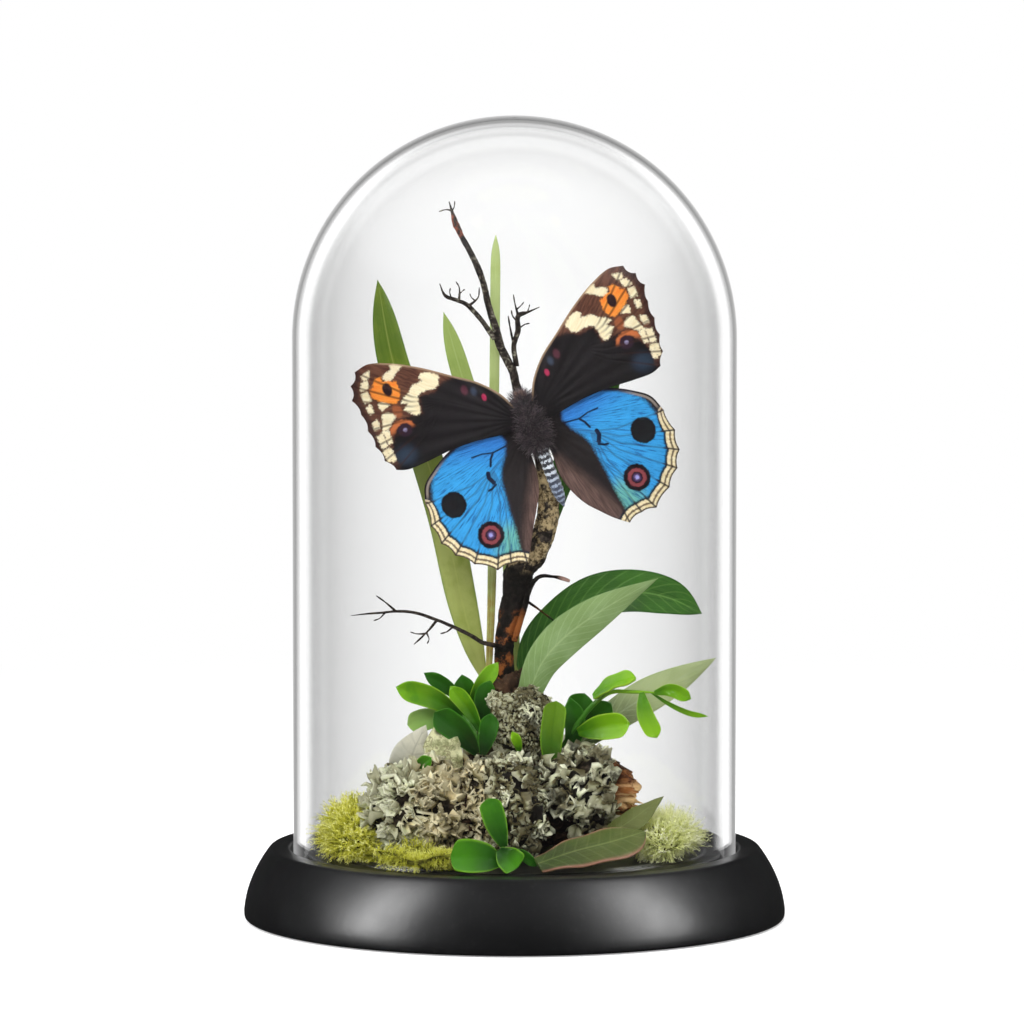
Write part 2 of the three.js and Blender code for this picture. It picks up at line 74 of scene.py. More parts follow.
def colour(code):  # "#rrggbb" as the linear colour that a shader takes
    parts = [int(code[i : i + 2], 16) / 255 for i in (1, 3, 5)]
    return tuple(p / 12.92 if p <= 0.04045 else ((p + 0.055) / 1.055) ** 2.4 for p in parts) + (1.0,)


def grey(level):
    return (level, level, level, 1.0)


def mixed(tree, factor, first, second):
    made = addNode(tree, "ShaderNodeMix", {0: factor}, data_type="RGBA")
    for place, value in ((6, first), (7, second)):
        if isinstance(value, bpy.types.NodeSocket):
            tree.links.new(value, made.inputs[place])
        else:
            made.inputs[place].default_value = colour(value) if isinstance(value, str) else value
    return made.outputs[2]


def span(tree, value, low, high, toLow=0.0, toHigh=1.0):
    inputs = {"Value": value, "From Min": low, "From Max": high, "To Min": toLow, "To Max": toHigh}
    return addNode(tree, "ShaderNodeMapRange", inputs, interpolation_type="SMOOTHSTEP").outputs[0]


def calc(tree, operation, first, second=0.0):
    return addNode(tree, "ShaderNodeMath", {0: first, 1: second}, operation=operation).outputs[0]


def times(tree, first, *others):
    for other in others:
        first = calc(tree, "MULTIPLY", first, other)
    return first


def between(tree, value, rise, fall):  # a mask that comes in over one span and goes out over the other
    return times(tree, span(tree, value, *rise), span(tree, value, *fall))


def axis(tree, vector, number):
    return addNode(tree, "ShaderNodeSeparateXYZ", {0: vector}).outputs[number]


def attribute(tree, name):
    return addNode(tree, "ShaderNodeAttribute", attribute_name=name).outputs["Fac"]


def objectPoint(tree):
    return addNode(tree, "ShaderNodeTexCoord").outputs["Object"]


def speckle(tree, point, scale, detail=3.0, roughness=0.6):
    inputs = {"Vector": point, "Scale": scale, "Detail": detail, "Roughness": roughness}
    return addNode(tree, "ShaderNodeTexNoise", inputs).outputs[0]


def newMaterial(name, **values):
    made = bpy.data.materials.new(name)
    made.use_nodes = True
    shader = made.node_tree.nodes["Principled BSDF"]
    for key, value in values.items():
        shader.inputs[key.replace("_", " ")].default_value = value
    return made, made.node_tree, shader


def paint(tree, shader, tone):
    tree.links.new(tone, shader.inputs["Base Color"])


def bump(tree, shader, height, strength, distance):
    inputs = {"Strength": strength, "Distance": distance, "Height": height}
    tree.links.new(addNode(tree, "ShaderNodeBump", inputs).outputs[0], shader.inputs["Normal"])


# ---- small helpers for meshes; shapes are worked out in millimetres ----


def splinePoint(points, t):  # centripetal spline through evenly numbered points, t from 0 to 1
    points = np.asarray(points, float)
    place = min(max(t, 0), 1) * (len(points) - 1)
    i = min(int(place), len(points) - 2)
    share = place - i
    before = points[i - 1] if i > 0 else 2 * points[0] - points[1]
    after = points[i + 2] if i + 2 < len(points) else 2 * points[-1] - points[-2]
    p = [before, points[i], points[i + 1], after]
    gap = [max(np.linalg.norm(p[k + 1] - p[k]) ** 0.5, 1e-4) for k in range(3)]
    m1 = (p[1] - p[0]) / gap[0] - (p[2] - p[0]) / (gap[0] + gap[1]) + (p[2] - p[1]) / gap[1]
    m2 = (p[2] - p[1]) / gap[1] - (p[3] - p[1]) / (gap[1] + gap[2]) + (p[3] - p[2]) / gap[2]
    m1, m2 = m1 * gap[1], m2 * gap[1]
    a = 2 * p[1] - 2 * p[2] + m1 + m2
    b = -3 * p[1] + 3 * p[2] - 2 * m1 - m2
    return a * share**3 + b * share**2 + m1 * share + p[1]


def along(values, t):
    return np.interp(t * (len(values) - 1), range(len(values)), values)


def unit(v):
    return v / max(np.linalg.norm(v), 1e-9)


def frameAt(line, t, facing):  # centre, tangent, side and normal of a ribbon or tube
    centre = splinePoint(line, t)
    tangent = unit(splinePoint(line, min(t + 0.01, 1)) - splinePoint(line, max(t - 0.01, 0)))
    side = unit(np.cross(tangent, facing))
    return centre, tangent, side, np.cross(side, tangent)


def storeMap(mesh, name, pairs):  # a UV map, from one pair of numbers for each vertex
    index = np.zeros(len(mesh.loops), int)
    mesh.loops.foreach_get("vertex_index", index)
    corners = np.asarray(pairs, float).reshape(-1, 2)[index]
    mesh.uv_layers.new(name=name).data.foreach_set("uv", corners.ravel())


def ringMesh(name, rings, uv=None):  # rings: (steps, around, 3) in millimetres
    rings = np.asarray(rings, float)
    steps, around = rings.shape[:2]
    corner = np.arange(steps * around).reshape(steps, around)
    beside = np.roll(corner, -1, axis=1)
    faces = np.stack([corner[:-1], beside[:-1], beside[1:], corner[1:]], -1).reshape(-1, 4).tolist()
    faces.append(corner[0][::-1].tolist())
    faces.append(corner[-1].tolist())
    mesh = bpy.data.meshes.new(name)
    mesh.from_pydata((rings.reshape(-1, 3) * mm).tolist(), [], faces)
    if uv is not None:
        storeMap(mesh, "along", uv)
    mesh.shade_smooth()
    mesh.validate()
    return mesh


def storeValues(mesh, name, values):
    layer = mesh.attributes.get(name) or mesh.attributes.new(name, "FLOAT", "POINT")
    layer.data.foreach_set("value", np.asarray(values, np.float32).ravel())


def faceOutwards(mesh):
    work = bmesh.new()
    work.from_mesh(mesh)
    bmesh.ops.remove_doubles(work, verts=work.verts, dist=1e-7)
    bmesh.ops.recalc_face_normals(work, faces=work.faces)
    work.to_mesh(mesh)
    work.free()
    return mesh


def addPiece(name, mesh, material, slotName, *nodes):
    piece = bpy.data.objects.new(name, mesh)
    bpy.context.scene.collection.objects.link(piece)
    if material:
        mesh.materials.clear()
        mesh.materials.append(material)
    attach(piece, "root")
    if nodes:
        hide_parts(*nodes)
    return piece


def evaluated(piece):  # the piece's mesh with its modifiers in it, and the modifiers removed
    depsgraph = bpy.context.evaluated_depsgraph_get()
    mesh = bpy.data.meshes.new_from_object(piece.evaluated_get(depsgraph), depsgraph=depsgraph)
    piece.modifiers.clear()
    return mesh


def fractal(point, scale, seed, octaves=4):
    where = Vector(point) * scale + Vector((seed * 7.3, seed * 3.1, seed * 5.7))
    return noise.fractal(where, 0.9, 2.1, octaves)


# ---- camera, light and floor ----

cameraSizes = {"place": (-0.0004, -0.905, 0.135), "aim": (-0.0004, 0, 0.065), "lens": 199.45}
studio = {
    "floorRadius": 6.0,
    "floorDrop": 0.0002,  # how far the floor lies below the base
    "white": 0.8,
    "glow": 0.3,  # light of the floor's own close to the object, so that it stays near white
    "glowReach": (0.06, 0.4),  # from where to where it rises to full white
    "fill": 0.6,
    "through": 1.16,  # a little brighter behind the glass, which takes some light away
    "reflected": 0.03,
    "bandEdge": 0.1,  # softness of a band's lower and upper end
    # how it lies, degrees from the front, half width, brightness, lowest and highest place as sines
    "bands": [
        ("upright", 65, 15, 17.0, 0.1, 0.8),
        ("ring", 144, 15, 1.25, -1.2, 0.45),
        ("ring", 180, 16, 0.4, -1.2, 1.2),
        ("overhead", 110, 75, 0.5, 0.45, 1.3),
    ],
}
lampAim = (0, 0, 0.06)
lamps = {
    "leftPanel": {"place": (-0.75, -0.35, 0.4), "size": (0.7, 1.0), "power": 6.6},
    "rightPanel": {"place": (0.75, -0.35, 0.4), "size": (0.7, 1.0), "power": 5.0},
    "frontPanel": {"place": (-0.25, -1.1, 0.75), "size": (0.7, 0.5), "power": 9.6},
    "topPanel": {"place": (0.0, 0.1, 1.0), "size": (0.9, 0.9), "power": 6.5},
}


def makeCamera():
    lens = bpy.data.cameras.new("camera")
    lens.lens = cameraSizes["lens"]
    lens.clip_start = 0.05
    camera = bpy.data.objects.new("camera", lens)
    camera.location = cameraSizes["place"]
    away = Vector(cameraSizes["aim"]) - Vector(cameraSizes["place"])
    camera.rotation_euler = away.to_track_quat("-Z", "Y").to_euler()
    bpy.context.scene.collection.objects.link(camera)
    bpy.context.scene.camera = camera


def makeLamps():
    for name, sizes in lamps.items():
        light = bpy.data.lights.new(name, "AREA")
        light.shape = "RECTANGLE"
        light.size, light.size_y = sizes["size"]
        light.energy = sizes["power"]
        lamp = bpy.data.objects.new(name, light)
        lamp.location = sizes["place"]
        lamp.rotation_euler = (Vector(lampAim) - lamp.location).to_track_quat("-Z", "Y").to_euler()
        lamp.visible_glossy = lamp.visible_transmission = False
        bpy.context.scene.collection.objects.link(lamp)


def makeWorld():  # white where it is seen, a banded studio where it is reflected
    world = bpy.data.worlds.new("studio")
    bpy.context.scene.world = world
    world.use_nodes = True
    tree = world.node_tree
    path = addNode(tree, "ShaderNodeLightPath").outputs
    way = addNode(tree, "ShaderNodeTexCoord").outputs["Generated"]
    x, y, z = addNode(tree, "ShaderNodeSeparateXYZ", {0: way}).outputs
    ahead = times(tree, y, -1.0)
    fromFront = calc(tree, "ARCCOSINE", ahead)
    turned = calc(tree, "ARCTAN2", calc(tree, "ABSOLUTE", x), ahead)
    sharp, soft = path["Is Singular Ray"], studio["bandEdge"]
    strength = studio["reflected"]
    for kind, middle, half, bright, low, high in studio["bands"]:
        upright = kind == "upright"  # uprights show on the base alone, the other bands in the sharp glass
        off = calc(tree, "SUBTRACT", turned if upright else fromFront, math.radians(middle))
        wide = math.radians(half)
        nearness = span(tree, calc(tree, "ABSOLUTE", off), wide / 2, wide, 1.0, 0.0)
        level = between(tree, z, (low - soft, low + soft), (high - soft, high + soft, 1.0, 0.0))
        shown = calc(tree, "SUBTRACT", 1.0, sharp) if upright else sharp
        strength = calc(tree, "ADD", strength, times(tree, nearness, level, bright, shown))
    mirrored = addNode(tree, "ShaderNodeCombineColor", {0: strength, 1: strength, 2: strength}).outputs[0]
    onGloss = calc(tree, "GREATER_THAN", path["Glossy Depth"], 0.5)
    onMatt = calc(tree, "GREATER_THAN", path["Diffuse Depth"], 0.5)
    direct = mixed(tree, path["Is Camera Ray"], grey(studio["through"]), grey(1.0))
    tone = mixed(tree, onGloss, direct, mirrored)
    tone = mixed(tree, onMatt, tone, grey(studio["fill"]))
    tree.links.new(tone, tree.nodes["Background"].inputs["Color"])


def makeFloor():
    floor = bpy.data.objects.new("floor", bpy.data.meshes.new("floor"))
    work = bmesh.new()
    bmesh.ops.create_circle(work, cap_ends=True, segments=64, radius=studio["floorRadius"])
    work.to_mesh(floor.data)
    work.free()
    bpy.context.scene.collection.objects.link(floor)
    material, tree, shader = newMaterial("floorPaper", Roughness=0.9, Specular_IOR_Level=0.0)
    away = addNode(tree, "ShaderNodeVectorMath", {0: objectPoint(tree)}, operation="LENGTH").outputs["Value"]
    far = span(tree, away, *studio["glowReach"])
    depth = addNode(tree, "ShaderNodeLightPath").outputs
    throughGlass = calc(tree, "GREATER_THAN", depth["Transmission Depth"], 0.5)
    lit = calc(tree, "MAXIMUM", far, throughGlass)
    paint(tree, shader, mixed(tree, lit, grey(studio["white"]), grey(0.0)))
    glow = mixed(tree, far, grey(studio["glow"]), grey(1.0))
    glow = mixed(tree, throughGlass, glow, grey(studio["through"]))
    tree.links.new(glow, shader.inputs["Emission Color"])
    shader.inputs["Emission Strength"].default_value = 1.0
    clear = addNode(tree, "ShaderNodeBsdfTransparent").outputs[0]
    onGloss = calc(tree, "GREATER_THAN", depth["Glossy Depth"], 0.5)
    both = addNode(tree, "ShaderNodeMixShader", {0: onGloss, 1: shader.outputs[0], 2: clear})
    tree.links.new(both.outputs[0], tree.nodes["Material Output"].inputs["Surface"])
    floor.data.materials.append(material)
    floor.location.z = -studio["floorDrop"]


makeCamera()
makeLamps()
makeWorld()
makeFloor()
bpy.context.scene.view_settings.view_transform = "Standard"
print("stage ready")

# ---- black base and glass dome ----

holder = {
    "height": 11.3,
    "widest": 43.5,
    "rim": 39.2,
    "groove": (33.2, 36.0, 9.3),  # inner radius, outer radius, floor
    "land": 10.8,
    "disc": (30.7, 11.0),
    "footRound": 1.4,
    "edgeRound": 0.45,
    "pole": 0.02,  # radius of the small hole that closes at each end of the profile
    "sides": 192,
}
dome = {
    "radius": 35.5, "wall": 1.8, "top": 128.3, "foot": 9.6, "sides": 192,
    "pole": 0.01,
    "lip": 1.5,  # height of the rounded lower edge, and how round it is
    "lipRound": 0.8,
    "edgeShade": 0.45,  # painted shade: how much greyer the glass gets where it turns away
    "clearTop": (0.094, 0.118),  # heights over which that fades
    "rimGlow": 0.34,
    "dimTop": (0.106, 0.126),  # heights over which the rim's light fades
}


def turnedMesh(name, profile, sides):
    angle = np.linspace(0, 2 * np.pi, sides, endpoint=False)
    profile = np.asarray(profile, float)
    rings = [[(r * np.cos(a), r * np.sin(a), z) for a in angle] for r, z in profile]
    return faceOutwards(ringMesh(name, rings))


def rounded(profile, radius, steps=4):  # each corner of a profile cut by a short arc
    out = [profile[0]]
    for before, here, after in zip(profile, profile[1:], profile[2:]):
        before, here, after = (np.array(p, float) for p in (before, here, after))
        reach = min(radius, np.linalg.norm(here - before) / 2.2, np.linalg.norm(after - here) / 2.2)
        start, end = here + unit(before - here) * reach, here + unit(after - here) * reach
        for t in np.linspace(0, 1, steps + 1):
            out.append(tuple((1 - t) ** 2 * start + 2 * t * (1 - t) * here + t**2 * end))
    out.append(profile[-1])
    return out


def makeBase():
    high, wide, rim = holder["height"], holder["widest"], holder["rim"]
    inner, outer, low = holder["groove"]
    flank = [(wide - (wide - rim) * (h / high) ** 2, h) for h in np.linspace(1.2, high - 0.9, 10)]
    foot = rounded([(wide - 2.5, 0), (wide - 0.1, 0), flank[0]], holder["footRound"], 6)
    disc, flat = holder["disc"]
    top = [flank[-1], (rim - 0.05, high), (outer + 0.1, high), (outer, low), (inner, low)]
    top += [(inner, holder["land"]), (disc, holder["land"]), (disc - 0.25, flat), (disc - 4, flat)]
    top = rounded(top, holder["edgeRound"])
    profile = [(holder["pole"], 0), *foot[:-1], *flank[:-1], *top, (holder["pole"], flat)]
    material, tree, shader = newMaterial("blackLacquer", Roughness=0.36, Specular_IOR_Level=0.45)
    point = objectPoint(tree)
    dust = span(tree, speckle(tree, point, 900.0, 2.0), 0.52, 0.78)
    paint(tree, shader, mixed(tree, dust, "#0a0a0b", "#141415"))
    matt = span(tree, speckle(tree, point, 60.0, 4.0), 0.3, 0.7, 0.31, 0.4)
    tree.links.new(matt, shader.inputs["Roughness"])
    bump(tree, shader, speckle(tree, point, 700.0, 3.0), 0.08, 0.0002)
    addPiece("turned_base", turnedMesh("turned_base", profile, holder["sides"]), material, "base", "base")


def makeDome():
    outer, inner = dome["radius"], dome["radius"] - dome["wall"]
    centre = dome["top"] - outer
    arc = np.linspace(0, np.pi / 2, 40)[1:-1]
    inside = [(inner * np.sin(a), centre + inner * np.cos(a)) for a in arc]
    outside = [(outer * np.cos(a), centre + outer * np.sin(a)) for a in arc]
    low, high = dome["foot"], dome["foot"] + dome["lip"]
    wall = np.linspace(centre, high, 12)
    lip = rounded([(inner, high), (inner, low), (outer, low), (outer, high)], dome["lipRound"], 6)
    profile = [(dome["pole"], centre + inner), *inside, *[(inner, z) for z in wall[:-1]], *lip]
    profile += [*[(outer, z) for z in wall[::-1][1:]], *outside, (dome["pole"], centre + outer)]
    material, tree, shader = newMaterial("clearGlass", Roughness=0.0, IOR=1.47, Transmission_Weight=1.0)
    away = addNode(tree, "ShaderNodeLayerWeight", {"Blend": 0.5}).outputs["Facing"]
    z = axis(tree, objectPoint(tree), 2)
    # painted shade: the glass turns greyer towards its outline, less of it near the top
    edgeShade = times(tree, away, span(tree, z, *dome["clearTop"], dome["edgeShade"], 0.15 * dome["edgeShade"]))
    paint(tree, shader, mixed(tree, edgeShade, (0.99, 0.992, 0.992, 1), grey(0.0)))
    rim = times(tree, span(tree, away, 0.62, 0.9), span(tree, z, *dome["dimTop"], 1.0, 0.72))
    tree.links.new(mixed(tree, rim, grey(0.0), grey(dome["rimGlow"])), shader.inputs["Emission Color"])
    shader.inputs["Emission Strength"].default_value = 1.0
    clear = addNode(tree, "ShaderNodeBsdfTransparent").outputs[0]
    lampRay = addNode(tree, "ShaderNodeLightPath").outputs["Is Shadow Ray"]
    both = addNode(tree, "ShaderNodeMixShader", {0: lampRay, 1: shader.outputs[0], 2: clear})
    tree.links.new(both.outputs[0], tree.nodes["Material Output"].inputs["Surface"])
    addPiece("clear_dome", turnedMesh("clear_dome", profile, dome["sides"]), material, "glass", "glass_dome")


makeBase()
makeDome()
print("base and dome done")

# ---- butterfly: worked out in its own axes, then stood up behind the glass ----

insect = {"place": (3.0, -5.0, 78.6), "lean": -21.7, "sheet": 0.12}
forewing = {
    "root": (1.4, 2.2),
    "lift": 0.55,
    "raise": 8.0,
    "middle": (14.0, 9.4),
    "leading": [(1.5, 4.6), (2.8, 7.2), (5.4, 10.2), (9.2, 13), (13.2, 15.9), (17.4, 18.3), (20.6, 19.4),
                (22.9, 19)],
    "teeth": [(24.3, 17.2), (25, 15), (24.5, 12.4), (24.5, 9.6), (24.3, 6.8), (23.8, 4.2), (22.6, 2.2)],
    "trailing": [(21, 1.6), (17.8, 1.6), (13.2, 1.9), (9, 1.7), (5.2, 1.1), (1.3, 0.4)],
    "fork": (11.5, 9.4),
}
hindwing = {
    "root": (1.4, 0.2),
    "lift": -0.15,
    "raise": 6.5,
    "middle": (11.0, -7.4),
    "leading": [(1.4, 1.3), (5.2, 2.2), (8.4, 2.7), (11.5, 2.5), (14.6, 1.4), (17.2, -0.1), (19.3, -1.8),
                (20.4, -4.6)],
    "teeth": [(20.9, -8.2), (20.4, -11.4), (19, -14), (16.7, -16.4), (13.6, -18.7), (11.2, -18.5),
              (8.8, -19.4)],
    "trailing": [(7.5, -17.4), (6, -14.8), (4.4, -12.2), (2.8, -9.4), (2, -6.4), (1.8, -3.6), (1.4, -1.6)],
    "fork": (8.4, -3.6),
}
rightHindwing = {  # spread further than the left one
    **hindwing,
    "trailing": [(6.6, -17.6), (4.9, -15.8), (3.5, -14.2), (2.4, -12.3), (1.6, -10.2), (1.2, -8.2), (1.3, -5),
                 (1.3, -1.8)],
}
wingGrid = {
    "around": 520, "rings": 62,
    "inward": 0.972,  # how far the bays between the teeth are drawn in
    "pleat": (0.07, 34),  # height and number of the fine folds along the veins
    "sway": (0.35, 0.21, 2.0),  # height of the slow waves, and how they turn outwards and around
}
# blotches as outlines, in millimetres from the thorax, to the right and towards the head
foreMarks = {
    "cream": [
        [(10.8, 13.6), (11.6, 14.3), (12.7, 14.9), (13.5, 14.9), (13.9, 14.4), (13.6, 13.8), (15.4, 13.7),
         (16.2, 12.9), (17.3, 12.4), (18.0, 11.7), (17.0, 11.3), (18.0, 10.6), (17.4, 9.9), (16.5, 9.1),
         (15.9, 9.0), (15.5, 9.7), (15.4, 10.9), (15.1, 11.7), (14.6, 12.1), (13.2, 12.1), (12.2, 11.8),
         (11.4, 12.3)],
        [(15.6, 17.2), (16.8, 18.0), (17.5, 17.9), (17.5, 17.3), (18.8, 17.0), (19.2, 16.5), (18.9, 15.5),
         (17.9, 15.7), (17.0, 16.4)],
        [(19.7, 12.2), (21.2, 11.8), (21.3, 12.9), (20.4, 12.9)],
        [(19.3, 10.2), (20.3, 11.0), (21.4, 11.0), (21.7, 9.9), (22.2, 8.7), (21.4, 8.8), (20.4, 9.5)],
        [(20.9, 18.2), (22.0, 18.0), (22.1, 17.4), (21.2, 17.4)],
        [(21.6, 17.0), (22.5, 16.9), (23.0, 16.0), (21.9, 15.9)],
        [(22.3, 15.3), (23.2, 15.2), (23.2, 13.9), (22.3, 13.9)],
        [(22.6, 13.2), (23.2, 13.0), (23.1, 12.0), (22.6, 12.0)],
        [(22.5, 10.6), (23.3, 10.3), (23.3, 9.3), (22.6, 9.4)],
        [(21.5, 8.4), (22.2, 8.5), (22.1, 6.5), (21.6, 6.6)],
        [(22.5, 8.3), (23.4, 8.1), (23.3, 6.2), (22.6, 6.2)],
        [(22.2, 5.7), (22.7, 5.7), (22.6, 3.6), (22.1, 3.8)],
        [(22.9, 5.7), (23.4, 5.5), (23.2, 3.9), (22.8, 3.9)],
    ],
    "orange": [
        [(17.4, 15.2), (18.6, 15.7), (19.5, 16.0), (19.4, 16.8), (20.5, 16.8), (21.1, 15.9), (21.8, 15.4),
         (21.9, 14.2), (21.2, 13.4), (20.2, 12.7), (18.9, 11.9), (17.9, 12.5), (17.4, 13.6)],
    ],
    "brown": [
        [(8.2, 12.6), (12.4, 16.6), (16.6, 19.0), (21.0, 20.4), (26.0, 18.0), (26.5, 8.0), (25.0, 1.5),
         (22.0, 2.6), (21.9, 5.6), (21.0, 7.2), (19.4, 9.3), (17.4, 9.3), (15.4, 9.0), (15.0, 11.7),
         (12.4, 11.4), (10.8, 12.4), (9.6, 12.4)],
    ],
}
hindMarks = {
    "blue": [
        [(4.9, -0.2), (5.2, 1.2), (7.2, 1.9), (8.8, 2.4), (10.7, 2.3), (12.6, 1.8), (14.4, 1.0), (16.2, 0.0),
         (17.7, -1.3), (18.5, -2.8), (18.9, -4.4), (19.3, -6.2), (19.2, -8.0), (18.9, -10.2), (18.3, -12.2),
         (17.3, -13.4), (16.1, -14.6), (14.6, -15.9), (13.0, -16.9), (10.8, -17.0), (9.1, -17.2),
         (8.7, -14.6), (8.5, -12.5), (8.4, -10.2), (8.0, -7.6), (7.8, -5.6), (7.2, -4.0), (5.8, -2.2)],
    ],
    "fold": [
        [(0.4, -5.4), (2.2, -5.6), (3.6, -8), (5, -10.4), (6.4, -12.8), (7.6, -15.2), (8.6, -17.4),
         (8.6, -20.0), (0.4, -12.0)],
    ],
}


def denseOutline(wing, count):  # the wing's edge, evenly spaced, with the share that is the outer margin
    lead = [splinePoint(wing["leading"], t) for t in np.linspace(0, 1, 120)]
    margin, here = [], np.array(wing["leading"][-1], float)
    for tooth in wing["teeth"]:
        there = np.array(tooth, float)
        bay = wingGrid["inward"] * (here + there) / 2
        for t in np.linspace(0, 1, 16)[1:]:
            margin.append((1 - t) ** 2 * here + 2 * t * (1 - t) * bay + t**2 * there)
        here = there
    trail = [splinePoint([wing["teeth"][-1], *wing["trailing"]], t) for t in np.linspace(0, 1, 120)[1:]]
    whole = np.array([*lead, *margin, *trail, lead[0]])
    length = np.concatenate([[0], np.cumsum(np.linalg.norm(np.diff(whole, axis=0), axis=1))])
    even = np.linspace(0, length[-1], count, endpoint=False)
    return np.stack([np.interp(even, length, whole[:, k]) for k in (0, 1)], 1), np.array(margin)


def lineDistance(points, line, closed=False):
    line = np.asarray(line, float)
    ends = np.roll(line, -1, axis=0) if closed else line[1:]
    starts = line if closed else line[:-1]
    best = np.full(len(points), 1e9)
    for a, b in zip(starts, ends):
        t = np.clip(((points - a) @ (b - a)) / max((b - a) @ (b - a), 1e-12), 0, 1)
        best = np.minimum(best, np.linalg.norm(points - a - t[:, None] * (b - a), axis=1))
    return best


def insideDistance(points, outlines):  # millimetres into the nearest blotch, negative outside them all
    best = np.full(len(points), -1e9)
    for outline in outlines:
        outline = np.asarray(outline, float)
        within = np.zeros(len(points), bool)
        for a, b in zip(outline, np.roll(outline, -1, axis=0)):
            crosses = (a[1] > points[:, 1]) != (b[1] > points[:, 1])
            at = (b[0] - a[0]) * (points[:, 1] - a[1]) / (b[1] - a[1] + 1e-12) + a[0]
            within ^= crosses & (points[:, 0] < at)
        best = np.maximum(best, np.where(within, 1, -1) * lineDistance(points, outline, True))
    return best


def veinLines(wing, root):
    fork = np.array(wing["fork"], float)
    lines = [[root, fork]]
    for tooth in [wing["leading"][-1], *wing["teeth"]]:
        end = np.array(tooth, float)
        bend = fork + 0.35 * (end - fork) + 0.06 * (end - fork)[::-1] * (1, -1)
        lines.append([fork, bend, end])
    return lines


def standUp(points):  # from the insect's own axes to the object's
    lean = math.radians(insect["lean"])
    x, y, z = points[:, 0], points[:, 1], points[:, 2]
    out = np.stack([math.cos(lean) * x + math.sin(lean) * y, -z, -math.sin(lean) * x + math.cos(lean) * y], 1)
    return out + np.array(insect["place"])


def wingMesh(name, wing, marks, sideways, strokes=()):
    outline, margin = denseOutline(wing, wingGrid["around"])
    middle = np.array(wing["middle"])
    shares = 1 - (1 - np.linspace(0, 1, wingGrid["rings"] + 1)[1:]) ** 1.15
    flat = np.concatenate([[middle]] + [middle + (outline - middle) * s for s in shares])
    count = len(outline)
    root = np.array(wing["root"])
    away = np.linalg.norm(flat - root, axis=1)
    angle = np.arctan2(flat[:, 1] - root[1], flat[:, 0] - root[0])
    toEdge = lineDistance(flat, outline, True)
    rise = math.radians(wing["raise"])
    deep, folds = wingGrid["pleat"]
    pleat = deep * np.sin(angle * folds) * np.clip(away / 8, 0, 1)
    tall, outwards, around = wingGrid["sway"]
    sway = tall * np.sin(away * outwards + angle * around) * np.clip(away / 10, 0, 1)
    half = insect["sheet"] / 2 * np.clip(toEdge / 0.12, 0.12, 1)
    height = wing["lift"] + flat[:, 0] * math.sin(rise) + pleat + sway
    upper = np.stack([flat[:, 0] * math.cos(rise) * sideways, flat[:, 1], height + half], 1)
    lower = upper - np.outer(2 * half, (0, 0, 1))
    faces = []
    for sheet in (0, 1):
        start = sheet * len(flat)
        ring = start + 1 + np.arange(count)
        fan = np.stack([np.full(count, start), ring, np.roll(ring, -1)], 1)
        faces += (fan if (sheet == 0) == (sideways > 0) else fan[:, ::-1]).tolist()
        for k in range(len(shares) - 1):
            a = start + 1 + k * count + np.arange(count)
            b = a + count
            quads = np.stack([a, b, np.roll(b, -1), np.roll(a, -1)], 1)
            faces += (quads if (sheet == 0) == (sideways > 0) else quads[:, ::-1]).tolist()
    top = 1 + (len(shares) - 1) * count + np.arange(count)
    under = top + len(flat)
    rim = np.stack([top, under, np.roll(under, -1), np.roll(top, -1)], 1)
    faces += (rim if sideways > 0 else rim[:, ::-1]).tolist()
    mesh = bpy.data.meshes.new(name)
    points = standUp(np.concatenate([upper, lower]))
    mesh.from_pydata((points * mm).tolist(), [], faces)
    storeMap(mesh, "wing", np.concatenate([flat, flat]))
    storeValues(mesh, "below", np.repeat([0, 1], len(flat)))
    leading = [splinePoint(wing["leading"], t) for t in np.linspace(0, 1, 60)]
    measures = {
        "edge": lineDistance(flat, margin),
        "rim": toEdge,
        "lead": lineDistance(flat, leading),
        "ray": angle,
        "reach": away,
        "vein": np.min([lineDistance(flat, line) for line in veinLines(wing, root)], axis=0),
    }
    for mark, outlines in marks.items():
        measures[mark] = np.clip(insideDistance(flat, outlines), -4, 4)
    if strokes:
        measures["ink"] = np.min([lineDistance(flat, line) - wider for line, wider in strokes], axis=0)
    for measure, values in measures.items():
        storeValues(mesh, measure, np.tile(values, 2))
    mesh.shade_smooth()
    return mesh


def eyeSpotGroup():  # how far a place on the wing is from an eye spot's middle, as a share of its radius
    tree = bpy.data.node_groups.new("eyeSpot", "ShaderNodeTree")
    for name in ("Wing", "Middle", "Size"):
        tree.interface.new_socket(name, in_out="INPUT", socket_type="NodeSocketVector")
    tree.interface.new_socket("Distance", in_out="OUTPUT", socket_type="NodeSocketFloat")
    enter, leave = tree.nodes.new("NodeGroupInput"), tree.nodes.new("NodeGroupOutput")
    wing, middle, size = (enter.outputs[name] for name in ("Wing", "Middle", "Size"))
    offset = addNode(tree, "ShaderNodeVectorMath", {0: wing, 1: middle}, operation="SUBTRACT").outputs[0]
    scaled = addNode(tree, "ShaderNodeVectorMath", {0: offset, 1: size}, operation="DIVIDE").outputs[0]
    length = addNode(tree, "ShaderNodeVectorMath", {0: scaled}, operation="LENGTH").outputs["Value"]
    shift = span(tree, speckle(tree, wing, 2.4, 3.0, 0.5), 0.2, 0.8, -0.05, 0.05)
    tree.links.new(calc(tree, "ADD", length, shift), leave.inputs["Distance"])
    return tree


def eyeSpot(tree, wing, middle, size):
    inputs = {"Wing": wing, "Middle": (*middle, 0), "Size": (*size, 1)}
    return addNode(tree, "ShaderNodeGroup", inputs, node_tree=bpy.data.node_groups["eyeSpot"]).outputs[0]


def inside(tree, mark, ragged, soft=0.16):  # 1 within a blotch of the wing, with a ragged edge
    return span(tree, calc(tree, "ADD", attribute(tree, mark), ragged), -soft, soft)


def near(tree, name, low, high, share=1.0):  # most on a vein or an edge, and nothing further from it
    return span(tree, attribute(tree, name), low, high, share, 0.0)


